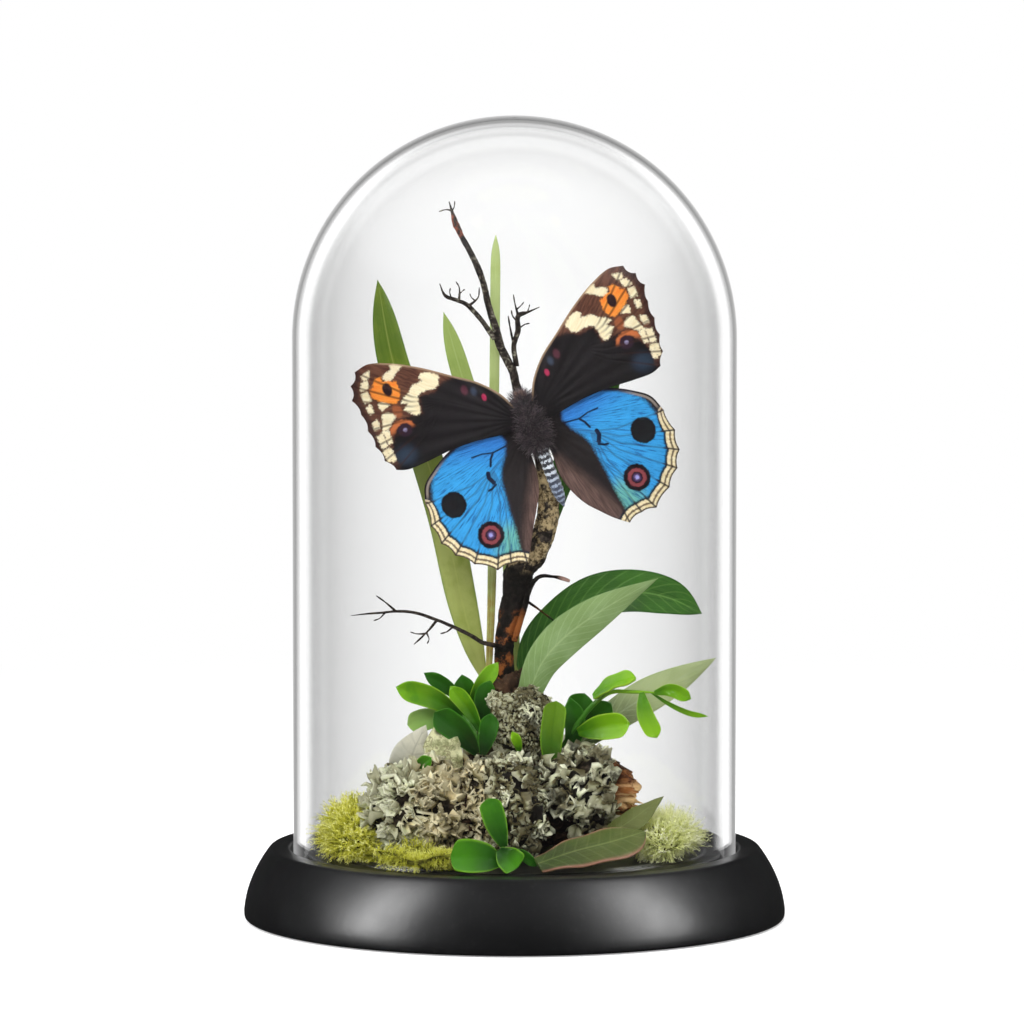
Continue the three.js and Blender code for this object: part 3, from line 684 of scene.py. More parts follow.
def dotted(tree, wing, tone, dots):  # each dot: middle, half size, where it fades, its share and colour
    for middle, size, fade, share, shade in dots:
        tone = mixed(tree, span(tree, eyeSpot(tree, wing, middle, size), *fade, share, 0.0), tone, shade)
    return tone


def wingBasics(name):
    material, tree, shader = newMaterial(
        name, Roughness=0.6, Specular_IOR_Level=0.34, Sheen_Weight=0.05, Sheen_Roughness=0.4
    )
    wing = addNode(tree, "ShaderNodeUVMap", uv_map="wing").outputs[0]
    ray, reach = attribute(tree, "ray"), attribute(tree, "reach")
    polar = addNode(tree, "ShaderNodeCombineXYZ", {0: times(tree, ray, 26.0), 1: times(tree, reach, 0.16)})
    streak = speckle(tree, polar.outputs[0], 2.2, 5.0, 0.65)
    scales = speckle(tree, wing, 9.0, 2.0, 0.7)
    ragged = span(tree, speckle(tree, wing, 3.2, 4.0, 0.7), 0.25, 0.75, -0.22, 0.22)
    return material, tree, shader, wing, streak, scales, ragged


def finishWing(tree, shader, tone, streak, scales, ragged, shown):  # brown underside, and the relief
    edge = calc(tree, "ADD", attribute(tree, "edge"), times(tree, ragged, 2.0))
    under = mixed(tree, streak, "#7a6350", "#b59e80")
    under = mixed(tree, between(tree, edge, (3.2, 4.2), (5.0, 6.4, 0.5, 0.0)), under, "#d0bd9c")
    for place, wide, share in ((1.1, 0.3, 0.6), (3.2, 0.45, 0.65), (7.4, 0.5, 0.35)):
        off = calc(tree, "ABSOLUTE", calc(tree, "SUBTRACT", edge, place))
        under = mixed(tree, span(tree, off, wide * 0.4, wide, share, 0.0), under, "#4f3b2c")
    under = mixed(tree, span(tree, scales, 0.5, 0.72, 0.0, 0.4), under, "#5d4936")
    under = mixed(tree, near(tree, "vein", 0.04, 0.16, 0.55), under, "#4b3828")
    under = mixed(tree, shown, under, tone)
    paint(tree, shader, mixed(tree, attribute(tree, "below"), tone, under))
    height = times(tree, near(tree, "vein", 0.0, 0.3), 0.6)
    height = calc(tree, "ADD", height, times(tree, scales, 0.35))
    height = calc(tree, "ADD", height, times(tree, streak, 0.5))
    bump(tree, shader, height, 0.5, 0.00012)


blueGlint = [((20.3, 3.8), (2.6, 2.4), (0.2, 1.0), 0.55, "#33455a")]
foreDots = [
    ((19.0, 10.8), (0.85, 1.3), (0.6, 1.1), 0.75, "#a45a34"),  # rusty link between the two eyes
    ((19.2, 14.55), (0.72, 1.08), (0.85, 1.2), 1.0, "#241318"),  # pupil of the upper eye
]
lowerEye = [
    ((18.95, 7.6), (1.25, 1.2), (0.75, 1.05), 1.0, "#2a1826"),
    ((18.95, 7.55), (0.42, 0.42), (0.4, 1.1), 0.9, "#9b93b8"),
]
rootDots = [  # crimson, dull red and blue-grey dots near the leading edge
    ((5.4, 7.7), (0.4, 0.62), (0.6, 1.2), 0.9, "#b52f55"),
    ((7.9, 9.9), (0.6, 0.9), (0.5, 1.2), 0.55, "#6b3544"),
    ((6.6, 9.2), (0.55, 0.8), (0.3, 1.3), 0.45, "#53617a"),
]


def forewingMaterial():
    material, tree, shader, wing, streak, scales, ragged = wingBasics("forewingScales")
    edge = attribute(tree, "edge")
    tone = mixed(tree, span(tree, scales, 0.45, 0.75), "#0b090b", "#211b1d")
    tone = dotted(tree, wing, tone, blueGlint)
    brown = mixed(tree, span(tree, streak, 0.35, 0.65), "#46281f", "#704837")
    tone = mixed(tree, inside(tree, "brown", ragged, 0.35), tone, brown)
    tone = mixed(tree, span(tree, edge, 0.4, 1.2, 0.7, 0.0), tone, "#2b1b1c")
    cream = mixed(tree, span(tree, streak, 0.3, 0.7), "#fff6d4", "#f2e0b4")
    wider = calc(tree, "ADD", ragged, span(tree, edge, 3.2, 4.6, 0.15, 0.0))  # fuller cells beside the edge
    tone = mixed(tree, inside(tree, "cream", wider), tone, cream)
    orange = mixed(tree, span(tree, streak, 0.3, 0.7), "#ffa244", "#f4832c")
    tone = mixed(tree, inside(tree, "orange", ragged), tone, orange)
    tone = dotted(tree, wing, tone, foreDots)
    ring = eyeSpot(tree, wing, (19.3, 7.3), (2.15, 2.0))
    upperHalf = span(tree, axis(tree, wing, 1), 7.2, 8.4)
    crescent = times(tree, between(tree, ring, (0.5, 0.68), (0.9, 1.08, 1.0, 0.0)), upperHalf)
    tone = mixed(tree, crescent, tone, "#c9703f")
    tone = dotted(tree, wing, tone, [*lowerEye, *rootDots])
    pale = calc(tree, "MAXIMUM", inside(tree, "cream", ragged), inside(tree, "orange", ragged))
    vein = times(tree, near(tree, "vein", 0.07, 0.26, 0.95), span(tree, pale, 0.0, 1.0, 0.5, 0.72))
    tone = mixed(tree, times(tree, vein, span(tree, attribute(tree, "reach"), 15.5, 19.0)), tone, "#33190f")
    costa = times(tree, near(tree, "lead", 0.14, 0.42), span(tree, edge, 2.0, 5.0), 0.65)
    tone = mixed(tree, costa, tone, "#b79a7c")
    finishWing(tree, shader, tone, streak, scales, ragged, 0.35)
    return material


blackSpot = [((16.2, -6.4), (2.02, 2.14), (0.93, 1.05), 1.0, "#0d0d10")]
hindEye = [  # rings of the lower eye, each a disc over the last: where it fades, and its colour
    (0.93, 1.06, "#140b12"), (0.62, 0.74, "#8e4349"), (0.38, 0.48, "#140b12"),
    (0.16, 0.4, "#5a3f6e"), (0.06, 0.22, "#a8a6e6"),
]


def hindwingMaterial():
    material, tree, shader, wing, streak, scales, ragged = wingBasics("hindwingScales")
    x, y = axis(tree, wing, 0), axis(tree, wing, 1)
    dark = mixed(tree, span(tree, scales, 0.45, 0.75), "#191516", "#352d2d")
    fold = mixed(tree, span(tree, streak, 0.3, 0.7), "#453330", "#7a6058")
    fold = mixed(tree, span(tree, scales, 0.48, 0.7, 0.0, 0.5), fold, "#2f2422")
    tone = mixed(tree, inside(tree, "fold", ragged, 1.3), dark, fold)
    azure, violet = mixed(tree, streak, "#1a85d2", "#44b4f2"), mixed(tree, streak, "#2062c4", "#3a93e6")
    towardsRoot = span(tree, calc(tree, "SUBTRACT", y, times(tree, x, 0.35)), -7.5, -1.0)
    blue = mixed(tree, towardsRoot, azure, violet)
    green = mixed(tree, streak, "#2a8f86", "#93d6b4")
    toEye = eyeSpot(tree, wing, (9.6, -15.8), (4.2, 4.4))
    blue = mixed(tree, span(tree, toEye, 0.35, 1.15, 0.85, 0.0), blue, green)
    blue = mixed(tree, span(tree, streak, 0.36, 0.5, 0.7, 0.0), blue, "#0c3a80")
    blue = mixed(tree, span(tree, scales, 0.5, 0.75, 0.0, 0.35), blue, "#7cc8f4")
    tone = mixed(tree, inside(tree, "blue", ragged, 0.45), tone, blue)
    edge = calc(tree, "DIVIDE", attribute(tree, "edge"), span(tree, y, -1.0, -10.0, 0.5, 1.0))
    edge = calc(tree, "ADD", edge, times(tree, ragged, 0.45))
    tone = mixed(tree, between(tree, edge, (1.35, 1.5), (1.65, 2.05, 1.0, 0.0)), tone, "#16202e")
    cream = mixed(tree, span(tree, streak, 0.3, 0.7), "#fff3cc", "#e8d3a0")
    cream = mixed(tree, span(tree, y, -6.5, -2.5), cream, "#b7a598")
    band = times(tree, span(tree, edge, 1.35, 1.6, 1.0, 0.0), span(tree, y, 2.2, -0.6))
    tone = mixed(tree, band, tone, cream)
    middle = times(tree, between(tree, edge, (0.56, 0.7), (0.86, 1.02, 1.0, 0.0)), 0.85)
    tone = mixed(tree, middle, tone, "#4b3124")
    tone = mixed(tree, span(tree, edge, 0.12, 0.36, 0.95, 0.0), tone, "#3d2a22")
    vein = times(tree, near(tree, "vein", 0.05, 0.24), span(tree, edge, 1.9, 2.4, 0.9, 0.4))
    tone = mixed(tree, vein, tone, "#2c2226")
    tone = mixed(tree, times(tree, near(tree, "rim", 0.15, 0.7), span(tree, y, -1.6, 1.2)), tone, "#2a2330")
    pale = between(tree, attribute(tree, "rim"), (0.22, 0.36), (0.52, 0.78, 0.7, 0.0))
    pale = times(tree, pale, span(tree, x, 14.5, 17.5), span(tree, y, -4.4, -3.2))
    tone = mixed(tree, pale, tone, "#a89a90")
    tone = dotted(tree, wing, tone, blackSpot)
    eye = eyeSpot(tree, wing, (12.5, -13.05), (2.15, 2.2))
    for low, high, shade in hindEye:
        tone = mixed(tree, span(tree, eye, low, high, 1.0, 0.0), tone, shade)
    tone = mixed(tree, near(tree, "ink", 0.1, 0.26), tone, "#0e1730")
    finishWing(tree, shader, tone, streak, scales, ragged, 0.06)
    return material


inkLines = [  # short black strokes in the blue, with how much wider than a hairline each is
    ([(4.9, -0.8), (7.4, -1.05), (9.0, -0.6), (10.8, -0.5)], -0.05),
    ([(7.4, -1.05), (8.1, -1.9), (8.5, -2.9)], 0.0),
    ([(9.3, -3.8), (9.45, -4.5), (9.0, -5.5)], 0.16),
    ([(8.8, -5.9), (9.6, -6.3), (10.2, -6.4)], 0.0),
]


def makeWings():
    foreMaterial, hindMaterial = forewingMaterial(), hindwingMaterial()
    for label, sideways, hind in (("left", -1, hindwing), ("right", 1, rightHindwing)):
        mesh = wingMesh(f"fore_{label}", forewing, foreMarks, sideways)
        addPiece(f"fore_wing_{label}", mesh, foreMaterial, "wing", f"forewing_{label}")
        mesh = wingMesh(f"hind_{label}", hind, hindMarks, sideways, inkLines)
        addPiece(f"hind_wing_{label}", mesh, hindMaterial, "wing", f"hindwing_{label}")


eyeSpotGroup()
makeWings()
print("wings done")

# ---- scattering, for fur, moss and lichen ----


def scatterTree():
    tree = bpy.data.node_groups.new("scatter", "GeometryNodeTree")
    tree.interface.new_socket("Geometry", in_out="OUTPUT", socket_type="NodeSocketGeometry")
    sockets = (
        ("Geometry", "Geometry"), ("Variants", "Collection"), ("Density", "Float"), ("Smallest", "Float"),
        ("Largest", "Float"), ("Lean", "Float"), ("Seed", "Int"), ("Material", "Material"),
    )
    for name, kind in sockets:
        tree.interface.new_socket(name, in_out="INPUT", socket_type="NodeSocket" + kind)
    enter, leave = tree.nodes.new("NodeGroupInput"), tree.nodes.new("NodeGroupOutput")
    given = {name: enter.outputs[name] for name, _ in sockets}
    cover = addNode(
        tree, "GeometryNodeInputNamedAttribute", {"Name": "cover"}, data_type="FLOAT"
    ).outputs["Attribute"]
    dense = times(tree, given["Density"], cover)
    points = addNode(
        tree, "GeometryNodeDistributePointsOnFaces",
        {"Mesh": given["Geometry"], "Density": dense, "Seed": given["Seed"]}
    )
    low = times(tree, given["Lean"], -1.0)
    least = addNode(tree, "ShaderNodeCombineXYZ", {0: low, 1: low, 2: -math.pi}).outputs[0]
    most = addNode(tree, "ShaderNodeCombineXYZ", {0: given["Lean"], 1: given["Lean"], 2: math.pi}).outputs[0]
    turn = addNode(
        tree, "FunctionNodeRandomValue", {"Min": least, "Max": most, "Seed": given["Seed"]},
        data_type="FLOAT_VECTOR"
    ).outputs[0]
    turned = addNode(tree, "FunctionNodeEulerToRotation", {0: turn}).outputs[0]
    rotation = addNode(
        tree, "FunctionNodeRotateRotation", {"Rotation": points.outputs["Rotation"], "Rotate By": turned},
        rotation_space="LOCAL",
    ).outputs[0]
    size = addNode(tree, "FunctionNodeRandomValue", data_type="FLOAT")
    tree.links.new(given["Smallest"], size.inputs[2])
    tree.links.new(given["Largest"], size.inputs[3])
    variants = addNode(
        tree, "GeometryNodeCollectionInfo",
        {"Collection": given["Variants"], "Separate Children": True, "Reset Children": True}
    ).outputs[0]
    placed = addNode(
        tree, "GeometryNodeInstanceOnPoints",
        {"Points": points.outputs["Points"], "Instance": variants, "Pick Instance": True,
         "Rotation": rotation, "Scale": size.outputs[1]},
    ).outputs[0]
    shade = addNode(tree, "FunctionNodeRandomValue", {"Seed": 5}, data_type="FLOAT").outputs[1]
    stored = addNode(
        tree, "GeometryNodeStoreNamedAttribute", {"Geometry": placed, "Name": "shade", "Value": shade},
        data_type="FLOAT", domain="INSTANCE",
    ).outputs[0]
    real = addNode(tree, "GeometryNodeRealizeInstances", {0: stored}).outputs[0]
    dressed = addNode(
        tree, "GeometryNodeSetMaterial", {"Geometry": real, "Material": given["Material"]}
    ).outputs[0]
    joined = tree.nodes.new("GeometryNodeJoinGeometry")
    tree.links.new(dressed, joined.inputs[0])
    tree.links.new(given["Geometry"], joined.inputs[0])
    tree.links.new(joined.outputs[0], leave.inputs[0])
    return tree


def scattered(mesh, variants, material, sizes):
    carrier = bpy.data.objects.new("carrier", mesh)
    bpy.context.scene.collection.objects.link(carrier)
    group = bpy.data.collections.new("variants")
    bpy.context.scene.collection.children.link(group)
    for variant in variants:
        group.objects.link(bpy.data.objects.new("variant", variant))
    modifier = carrier.modifiers.new("scatter", "NODES")
    modifier.node_group = bpy.data.node_groups["scatter"]
    values = {"Variants": group, "Material": material, **sizes}
    for item in modifier.node_group.interface.items_tree:
        if item.in_out == "INPUT" and item.name in values:
            modifier[item.identifier] = values[item.name]
    result = evaluated(carrier)
    for piece in (*group.objects, carrier):
        bpy.data.objects.remove(piece)
    bpy.data.collections.remove(group)
    return result


scatterTree()


def coneMesh(name, width, sides=3, bends=2, curl=0.25):  # one hair, 1 long, with "tip" running from 0 to 1
    rings, share = [], []
    for t in np.linspace(0, 1, bends + 1):
        r = width * (1 - t) + 0.01
        rings.append(
            [(r * math.cos(a) + curl * t * t, r * math.sin(a), t)
             for a in np.linspace(0, 2 * np.pi, sides + 1)[:-1]]
        )
        share += [t] * sides
    mesh = ringMesh(name, np.array(rings) / mm)
    storeValues(mesh, "tip", share)
    return mesh


# ---- butterfly's body ----

bodySizes = {
    "thorax": (1.75, 3.5, 1.6),
    "head": (1.05, 1.15, 1.0),
    "abdomen": [(0, -2.4, 0), (0, -6, 0.1), (0, -10, 0), (0, -13.2, -0.1)],
    "abdomenRadii": [1.15, 0.98, 0.9, 0.95, 0.98, 0.95, 0.72, 0.1],
    "rings": 9 / 0.78,  # how many rings would fit on the abdomen's whole line, and how deep they are
    "ringDepth": 0.045,
    "palp": [(0.3, 4.7, 0.1), (0.42, 5.6, 0.3), (0.46, 6.4, 0.4)],
    "palpRadii": [0.34, 0.3, 0.1],
    "legStations": (1.6, -0.9),
    "legRadii": [0.22, 0.2, 0.12],
    "hairWidth": 0.04,
    "fur": {"Density": 9.0e7, "Smallest": 0.0008, "Largest": 0.0022, "Lean": 0.95, "Seed": 3},
    "palpFur": {"Density": 3e8, "Smallest": 0.0003, "Largest": 0.0007},
}


def ballMesh(name, centre, radii, rows=20, around=28, waviness=0.0):
    rings = []
    for a in np.linspace(0.02, np.pi - 0.02, rows):
        ring = []
        for b in np.linspace(0, 2 * np.pi, around, endpoint=False):
            d = np.array([math.sin(a) * math.cos(b), math.cos(a), math.sin(a) * math.sin(b)])
            swell = 1 + waviness * fractal(d, 2.0, 1)
            ring.append(np.array(centre) + d * np.array(radii) * swell)
        rings.append(standUp(np.array(ring)))
    return faceOutwards(ringMesh(name, rings))


def insectTube(name, line, radii, sides=16, steps=40, wave=None):
    rings, uv = [], []
    for t in np.linspace(0, 1, steps + 1):
        centre, _, side, up = frameAt(line, t, (0, 0, 1))
        r = along(radii, t) * (wave(t) if wave else 1)
        around = np.linspace(0, 2 * np.pi, sides, endpoint=False)
        rings.append(
            standUp(np.array([centre + r * (math.cos(a) * side + math.sin(a) * up) for a in around]))
        )
        uv.append([(k / sides, t) for k in range(sides)])
    return faceOutwards(ringMesh(name, rings, uv))


def joinMeshes(name, meshes):
    work = bmesh.new()
    for mesh in meshes:
        work.from_mesh(mesh)
    made = bpy.data.meshes.new(name)
    work.to_mesh(made)
    work.free()
    made.shade_smooth()
    return made


def furMaterial(name, root, tip, warm):
    material, tree, shader = newMaterial(name, Roughness=0.7, Sheen_Weight=0.12)
    tone = mixed(tree, attribute(tree, "tip"), root, tip)
    tone = mixed(tree, span(tree, attribute(tree, "shade"), 0.55, 0.95), tone, warm)
    paint(tree, shader, tone)
    return material


def abdomenMaterial():
    material, tree, shader = newMaterial("silverRings", Roughness=0.45, Sheen_Weight=0.3)
    spot = addNode(tree, "ShaderNodeUVMap", uv_map="along").outputs[0]
    t = axis(tree, spot, 1)
    wave = calc(tree, "SINE", times(tree, t, 2 * math.pi * bodySizes["rings"]))
    flake = speckle(tree, objectPoint(tree), 2600.0, 3.0, 0.7)
    broken = calc(tree, "ADD", wave, span(tree, flake, 0.2, 0.8, -1.6, 1.5))
    dark = mixed(tree, flake, "#0e0e12", "#2b2d36")
    low = span(tree, t, 0.35, 0.7)
    dark = mixed(tree, low, dark, "#3c4254")
    tone = mixed(tree, span(tree, broken, -0.1, 0.6), dark, mixed(tree, low, "#dfe6ee", "#98a6bd"))
    tone = mixed(tree, span(tree, t, 0.8, 1.0, 0.0, 0.5), tone, "#4d5468")
    paint(tree, shader, tone)
    bump(tree, shader, flake, 0.5, 0.0001)
    return material


def eyeMaterial():
    material, tree, shader = newMaterial("darkEye", Roughness=0.2, Coat_Weight=0.6)
    facets = addNode(tree, "ShaderNodeTexVoronoi", {"Vector": objectPoint(tree), "Scale": 9000.0}).outputs[0]
    paint(tree, shader, mixed(tree, facets, "#1c1210", "#3a261d"))
    return material


def furred(name, parts, fur, spread):
    mesh = joinMeshes(name, parts)
    storeValues(mesh, "cover", np.ones(len(mesh.vertices)))
    mesh.materials.append(fur)
    hair = [coneMesh("hair", bodySizes["hairWidth"], curl=c) for c in (0.15, 0.3, 0.5)]
    return scattered(mesh, hair, fur, spread)


def makeBody():
    fur = furMaterial("thoraxFur", "#110e10", "#382f33", "#6f6367")
    palpFur = furMaterial("palpFur", "#4a342c", "#a08078", "#c9a79c")
    thorax = ballMesh("thorax", (0, 0.2, 0), bodySizes["thorax"], waviness=0.06)
    head = ballMesh("head", (0, 4.2, 0.1), bodySizes["head"])
    core = furred("core", [thorax, head], fur, bodySizes["fur"])
    palps, legs = [], []
    for side in (-1, 1):
        line = [(side * x, y, z) for x, y, z in bodySizes["palp"]]
        palps.append(insectTube("palp", line, bodySizes["palpRadii"], 10, 12))
    palpMesh = furred("palps", palps, palpFur, {**bodySizes["fur"], **bodySizes["palpFur"]})
    rings, deep = bodySizes["rings"], bodySizes["ringDepth"]
    abdomen = insectTube(
        "abdomen", bodySizes["abdomen"], bodySizes["abdomenRadii"], 28, 110,
        lambda t: 1 + deep * math.cos(2 * math.pi * rings * t),
    )
    for side in (-1, 1):
        for station in bodySizes["legStations"]:
            hip, knee = (side * 0.9, station, -0.9), (side * 2.1, station + 0.4, -2.1)
            foot = (side * 1.9, station - 0.4, -3.9)
            legs.append(insectTube("leg", [hip, knee, foot], bodySizes["legRadii"], 8, 16))
    legMesh = joinMeshes("legs", legs)
    eyes = joinMeshes(
        "eyes", [ballMesh("eye", (s * 0.85, 4.4, 0.2), (0.5, 0.62, 0.6), 16, 20) for s in (-1, 1)]
    )
    legMaterial, tree, shader = newMaterial("legs", Roughness=0.6)
    paint(tree, shader, mixed(tree, speckle(tree, objectPoint(tree), 1500.0), "#2b211d", "#6a5648"))
    for name, mesh, material in (
        ("thorax_and_head", core, None), ("palps", palpMesh, None), ("abdomen", abdomen, abdomenMaterial()),
        ("folded_legs", legMesh, legMaterial), ("compound_eyes", eyes, eyeMaterial()),
    ):
        addPiece(name, mesh, material, "butterfly_body", "butterfly_body")


makeBody()
print("butterfly done")

# ---- leaves: closed blades along a midrib, with thin rounded edges ----

front, halfway, skyward = [(0, -1, 0)], [(0, -0.9, 0.4)], [(0, -0.6, 0.8)]
bladeGrid = {
    "along": 56, "across": 14,
    "crowded": 0.65,  # share of the steps that crowd towards the root and the tip
    "trough": (0.16, 0.28),  # depth and half width of the furrow along the midrib
    "waves": (17, 1.3),  # how fast the edge waves along the blade, and how far its two sides are apart
}
bladeDefaults = {
    "facing": front, "root": 0.3, "peak": 0.5, "blunt": 1.2, "fold": 0.15, "thickness": 0.4, "wave": 0.1,
    "cup": 0,
}
room = {"radius": 33.1, "floor": 11.3}
strapLeaves = {
    "strap_leaf_left": {
        "line": [(-4.6, 2.4, 37.2), (-6.4, 3, 42.6), (-8.5, 4, 50.5), (-11.2, 5, 63), (-15.4, 5, 77),
                 (-19.6, 4.5, 89), (-22, 3.5, 102)],
        "width": 5.2, "root": 0.12, "peak": 0.45, "blunt": 4.6, "wave": 0.2,
    },
    "strap_leaf_middle": {
        "line": [(0.2, 4, 38.5), (-0.4, 5.4, 50), (-1.6, 6, 65), (-5.4, 6, 77), (-8.6, 5.5, 87),
                 (-11.4, 4.5, 96.8)],
        "width": 3.2, "root": 0.45, "peak": 0.72, "blunt": 2.1, "wave": 0.15,
    },
    "grass_leaf": {
        "line": [(-4.2, -1, 37.6), (-3.8, 1.5, 47.5), (-3.6, 3, 56), (-3.3, 4, 80), (-3, 4, 109.2)],
        "width": 1.6, "root": 0.62, "peak": 0.93, "blunt": 2.4, "fold": 0.1, "wave": 0.05,
    },
}
broadLeaves = {
    "wing_leaf": ("dark_leaf", {
        "line": [(6, 0.4, 63.6), (7.6, 1.4, 70.4), (10.6, 2.4, 76.4), (13.8, 2.8, 82), (17.6, 3, 89.4)],
        "width": 5.2, "root": 0.35, "peak": 0.5, "blunt": 1.4, "wave": 0.15,
    }),
    "arching_leaf": ("dark_leaf", {
        "line": [(1.2, 4, 36.6), (3.2, 3.4, 43.4), (7.4, 2.2, 48), (12.5, 0, 51.2), (18.5, -2, 52.4),
                 (24.5, -4, 51.6), (29.6, -6, 49.3)],
        "width": 7, "facing": [(-0.4, -1, 0.4), (0.1, -1, 0.3)], "root": 0.35, "peak": 0.6, "blunt": 2,
        "fold": -0.25, "wave": 0.2,
    }),
    "pale_leaf": ("pale_leaf", {
        "line": [(2.2, -4.4, 36), (4.4, -5.4, 41.4), (7.8, -6, 45.4), (12.5, -6.6, 49), (17.5, -7.4, 52.2),
                 (22.6, -8.2, 55.1)],
        "width": 6.2, "facing": front, "root": 0.6, "peak": 0.42, "blunt": 0.95, "fold": 0.2, "wave": 0.2,
    }),
    "side_leaf_right": ("pale_leaf", {
        "line": [(9, 3.4, 25.6), (12, 2.6, 28.8), (15.6, 2, 31.6), (20.2, 2, 34.6), (26.6, 1, 38.2),
                 (32.6, 0, 41.6)],
        "width": 5.6, "facing": front, "root": 0.3, "peak": 0.62, "blunt": 1, "fold": 0.12, "wave": 0.2,
    }),
    "papery_leaf": ("papery_leaf", {
        "line": [(-16.4, -6.6, 22.4), (-16.3, -8.4, 26.6), (-14, -8.6, 31.8)],
        "width": 7, "facing": front, "root": 0.95, "peak": 0.25, "blunt": 1.2, "thickness": 0.35,
        "fold": 0.25, "wave": 0.3,
    }),
    "front_leaf": ("pale_leaf", {
        "line": [(3.6, -30, 12.4), (9, -28, 14), (14.8, -25.6, 15.2), (20.2, -22.4, 16.4)],
        "width": 7, "facing": skyward, "root": 0.45, "peak": 0.62, "blunt": 2.2, "fold": 0.1,
        "thickness": 0.9, "wave": 0.2,
    }),
    "low_leaf_right": ("pale_leaf", {
        "line": [(14, -18.2, 15), (18, -17.6, 17.6), (23.2, -16.4, 21.4)],
        "width": 4.6, "facing": skyward, "root": 0.5, "peak": 0.4, "blunt": 1.1, "wave": 0.1,
    }),
}
sprigLeaf = {"root": 0.3, "peak": 0.68, "fold": 0.05, "thickness": 0.75, "wave": 0.1, "cup": 0.4}
sprigs = {
    "sprig_right": {
        "stem": ([(6.6, -3.4, 25.4), (9.4, -5, 30.6), (12.4, -6, 34.6), (15.2, -7, 36.8), (18.6, -8, 37),
                  (22.6, -9, 37)],
                 [0.5, 0.45, 0.4, 0.35, 0.3, 0.25]),
        "leaves": [
            ([(6.2, -9.6, 23), (5.8, -9, 29), (6.6, -8.4, 35.6)], 3.7, front, 4.5, "sprigStrap"),
            ([(9.3, -3.6, 30.8), (10, -2.8, 33), (11.2, -2.6, 36.2)], 4.4, front, 2, "sprigDark"),
            ([(12.6, -7, 36), (15.4, -8.2, 38.1), (19.2, -9.6, 39.4)], 3.4, skyward, 2.2, "sprigLime"),
            ([(10.2, -6.2, 30.4), (13.6, -8, 31.4), (18.2, -10, 32.2)], 4.2, front, 2.4, "sprigLime"),
            ([(20.1, -8.5, 36.9), (20.6, -10, 33.6), (22.4, -11, 30)], 2.8, front, 2.6, "sprigLime"),
            ([(22.1, -8.9, 37), (24.6, -9.8, 37.5), (27.6, -11, 36.2)], 2.2, front, 2.2, "sprigLime"),
            ([(21.5, -8.7, 37), (24.4, -8.4, 35.1), (27.6, -8.2, 33.6), (30.4, -8.2, 33.1)], 0.9, front, 1.5,
             "sprigLime"),
            ([(10.8, -3.6, 30.2), (12.4, -3.4, 32), (15.4, -3.6, 34.8)], 4.2, front, 1.6, "sprigDark"),
        ],
    },
    "sprig_left": {
        "stem": ([(-5, -6.6, 27), (-7, -7.6, 31.4), (-9.6, -8, 34.4)], [0.5, 0.45, 0.35]),
        "leaves": [
            ([(-8.4, -8, 33.2), (-13, -9.2, 36.2), (-18.7, -10, 38)], 3.6, front, 1.8, "sprigGlossy"),
            ([(-7.4, -5.8, 34.6), (-10.8, -5.6, 37.6), (-14.4, -5.6, 39.8)], 2.4, front, 1.2, "sprigDark"),
            ([(-5.9, -10.2, 27.6), (-8.8, -11.4, 31.2), (-12.6, -12.4, 34.2)], 4.2, front, 2.4, "sprigDark"),
            ([(-5, -11.4, 27.4), (-4.3, -11.8, 30.6), (-3.6, -11.6, 34)], 3, front, 1.6, "sprigDark"),
            ([(-5.4, -7, 30.6), (-7.6, -6.8, 34.4), (-10.2, -6.6, 37.8)], 3, front, 1.4, "sprigGlossy"),
            ([(-10.2, -6.2, 31.6), (-13.4, -6.6, 32.6), (-17, -7, 31.6)], 3.6, front, 2.6, "sprigPale"),
            ([(-7.4, -4.2, 33.6), (-5.2, -4.8, 37.8), (-2.6, -4.8, 41.4)], 2.6, front, 1.3, "sprigGlossy"),
        ],
    },
    "sprig_front": {
        "stem": ([(-1.4, -26.6, 11.6), (-1.3, -27.8, 12.8), (-1.5, -28.6, 14.2)], [0.5, 0.5, 0.45]),
        "leaves": [
            ([(-1.6, -28.4, 15), (-2.8, -28.6, 18.6), (-4, -28.2, 22.6)], 3.6, front, 3, "sprigDeep"),
            ([(-1.9, -29.6, 12.8), (-5.2, -30.2, 13.4), (-9.8, -30, 13.7)], 5.4, halfway, 3.4, "sprigDeep"),
            ([(-2.4, -29.9, 14.6), (-1, -30.7, 13.4), (0.5, -31.3, 12.1)], 4.2, halfway, 3, "sprigDeep"),
            ([(-0.6, -28, 14.4), (1.2, -28.4, 13.8), (3.4, -28.8, 12)], 1.6, front, 1.6, "sprigDark"),
        ],
    },
}


def underGlass(points):
    reach = np.linalg.norm(points[..., :2], axis=-1, keepdims=True)
    points[..., :2] *= np.minimum(1, room["radius"] / np.maximum(reach, 1e-6))
    points[..., 2] = np.maximum(points[..., 2], room["floor"])
    return points


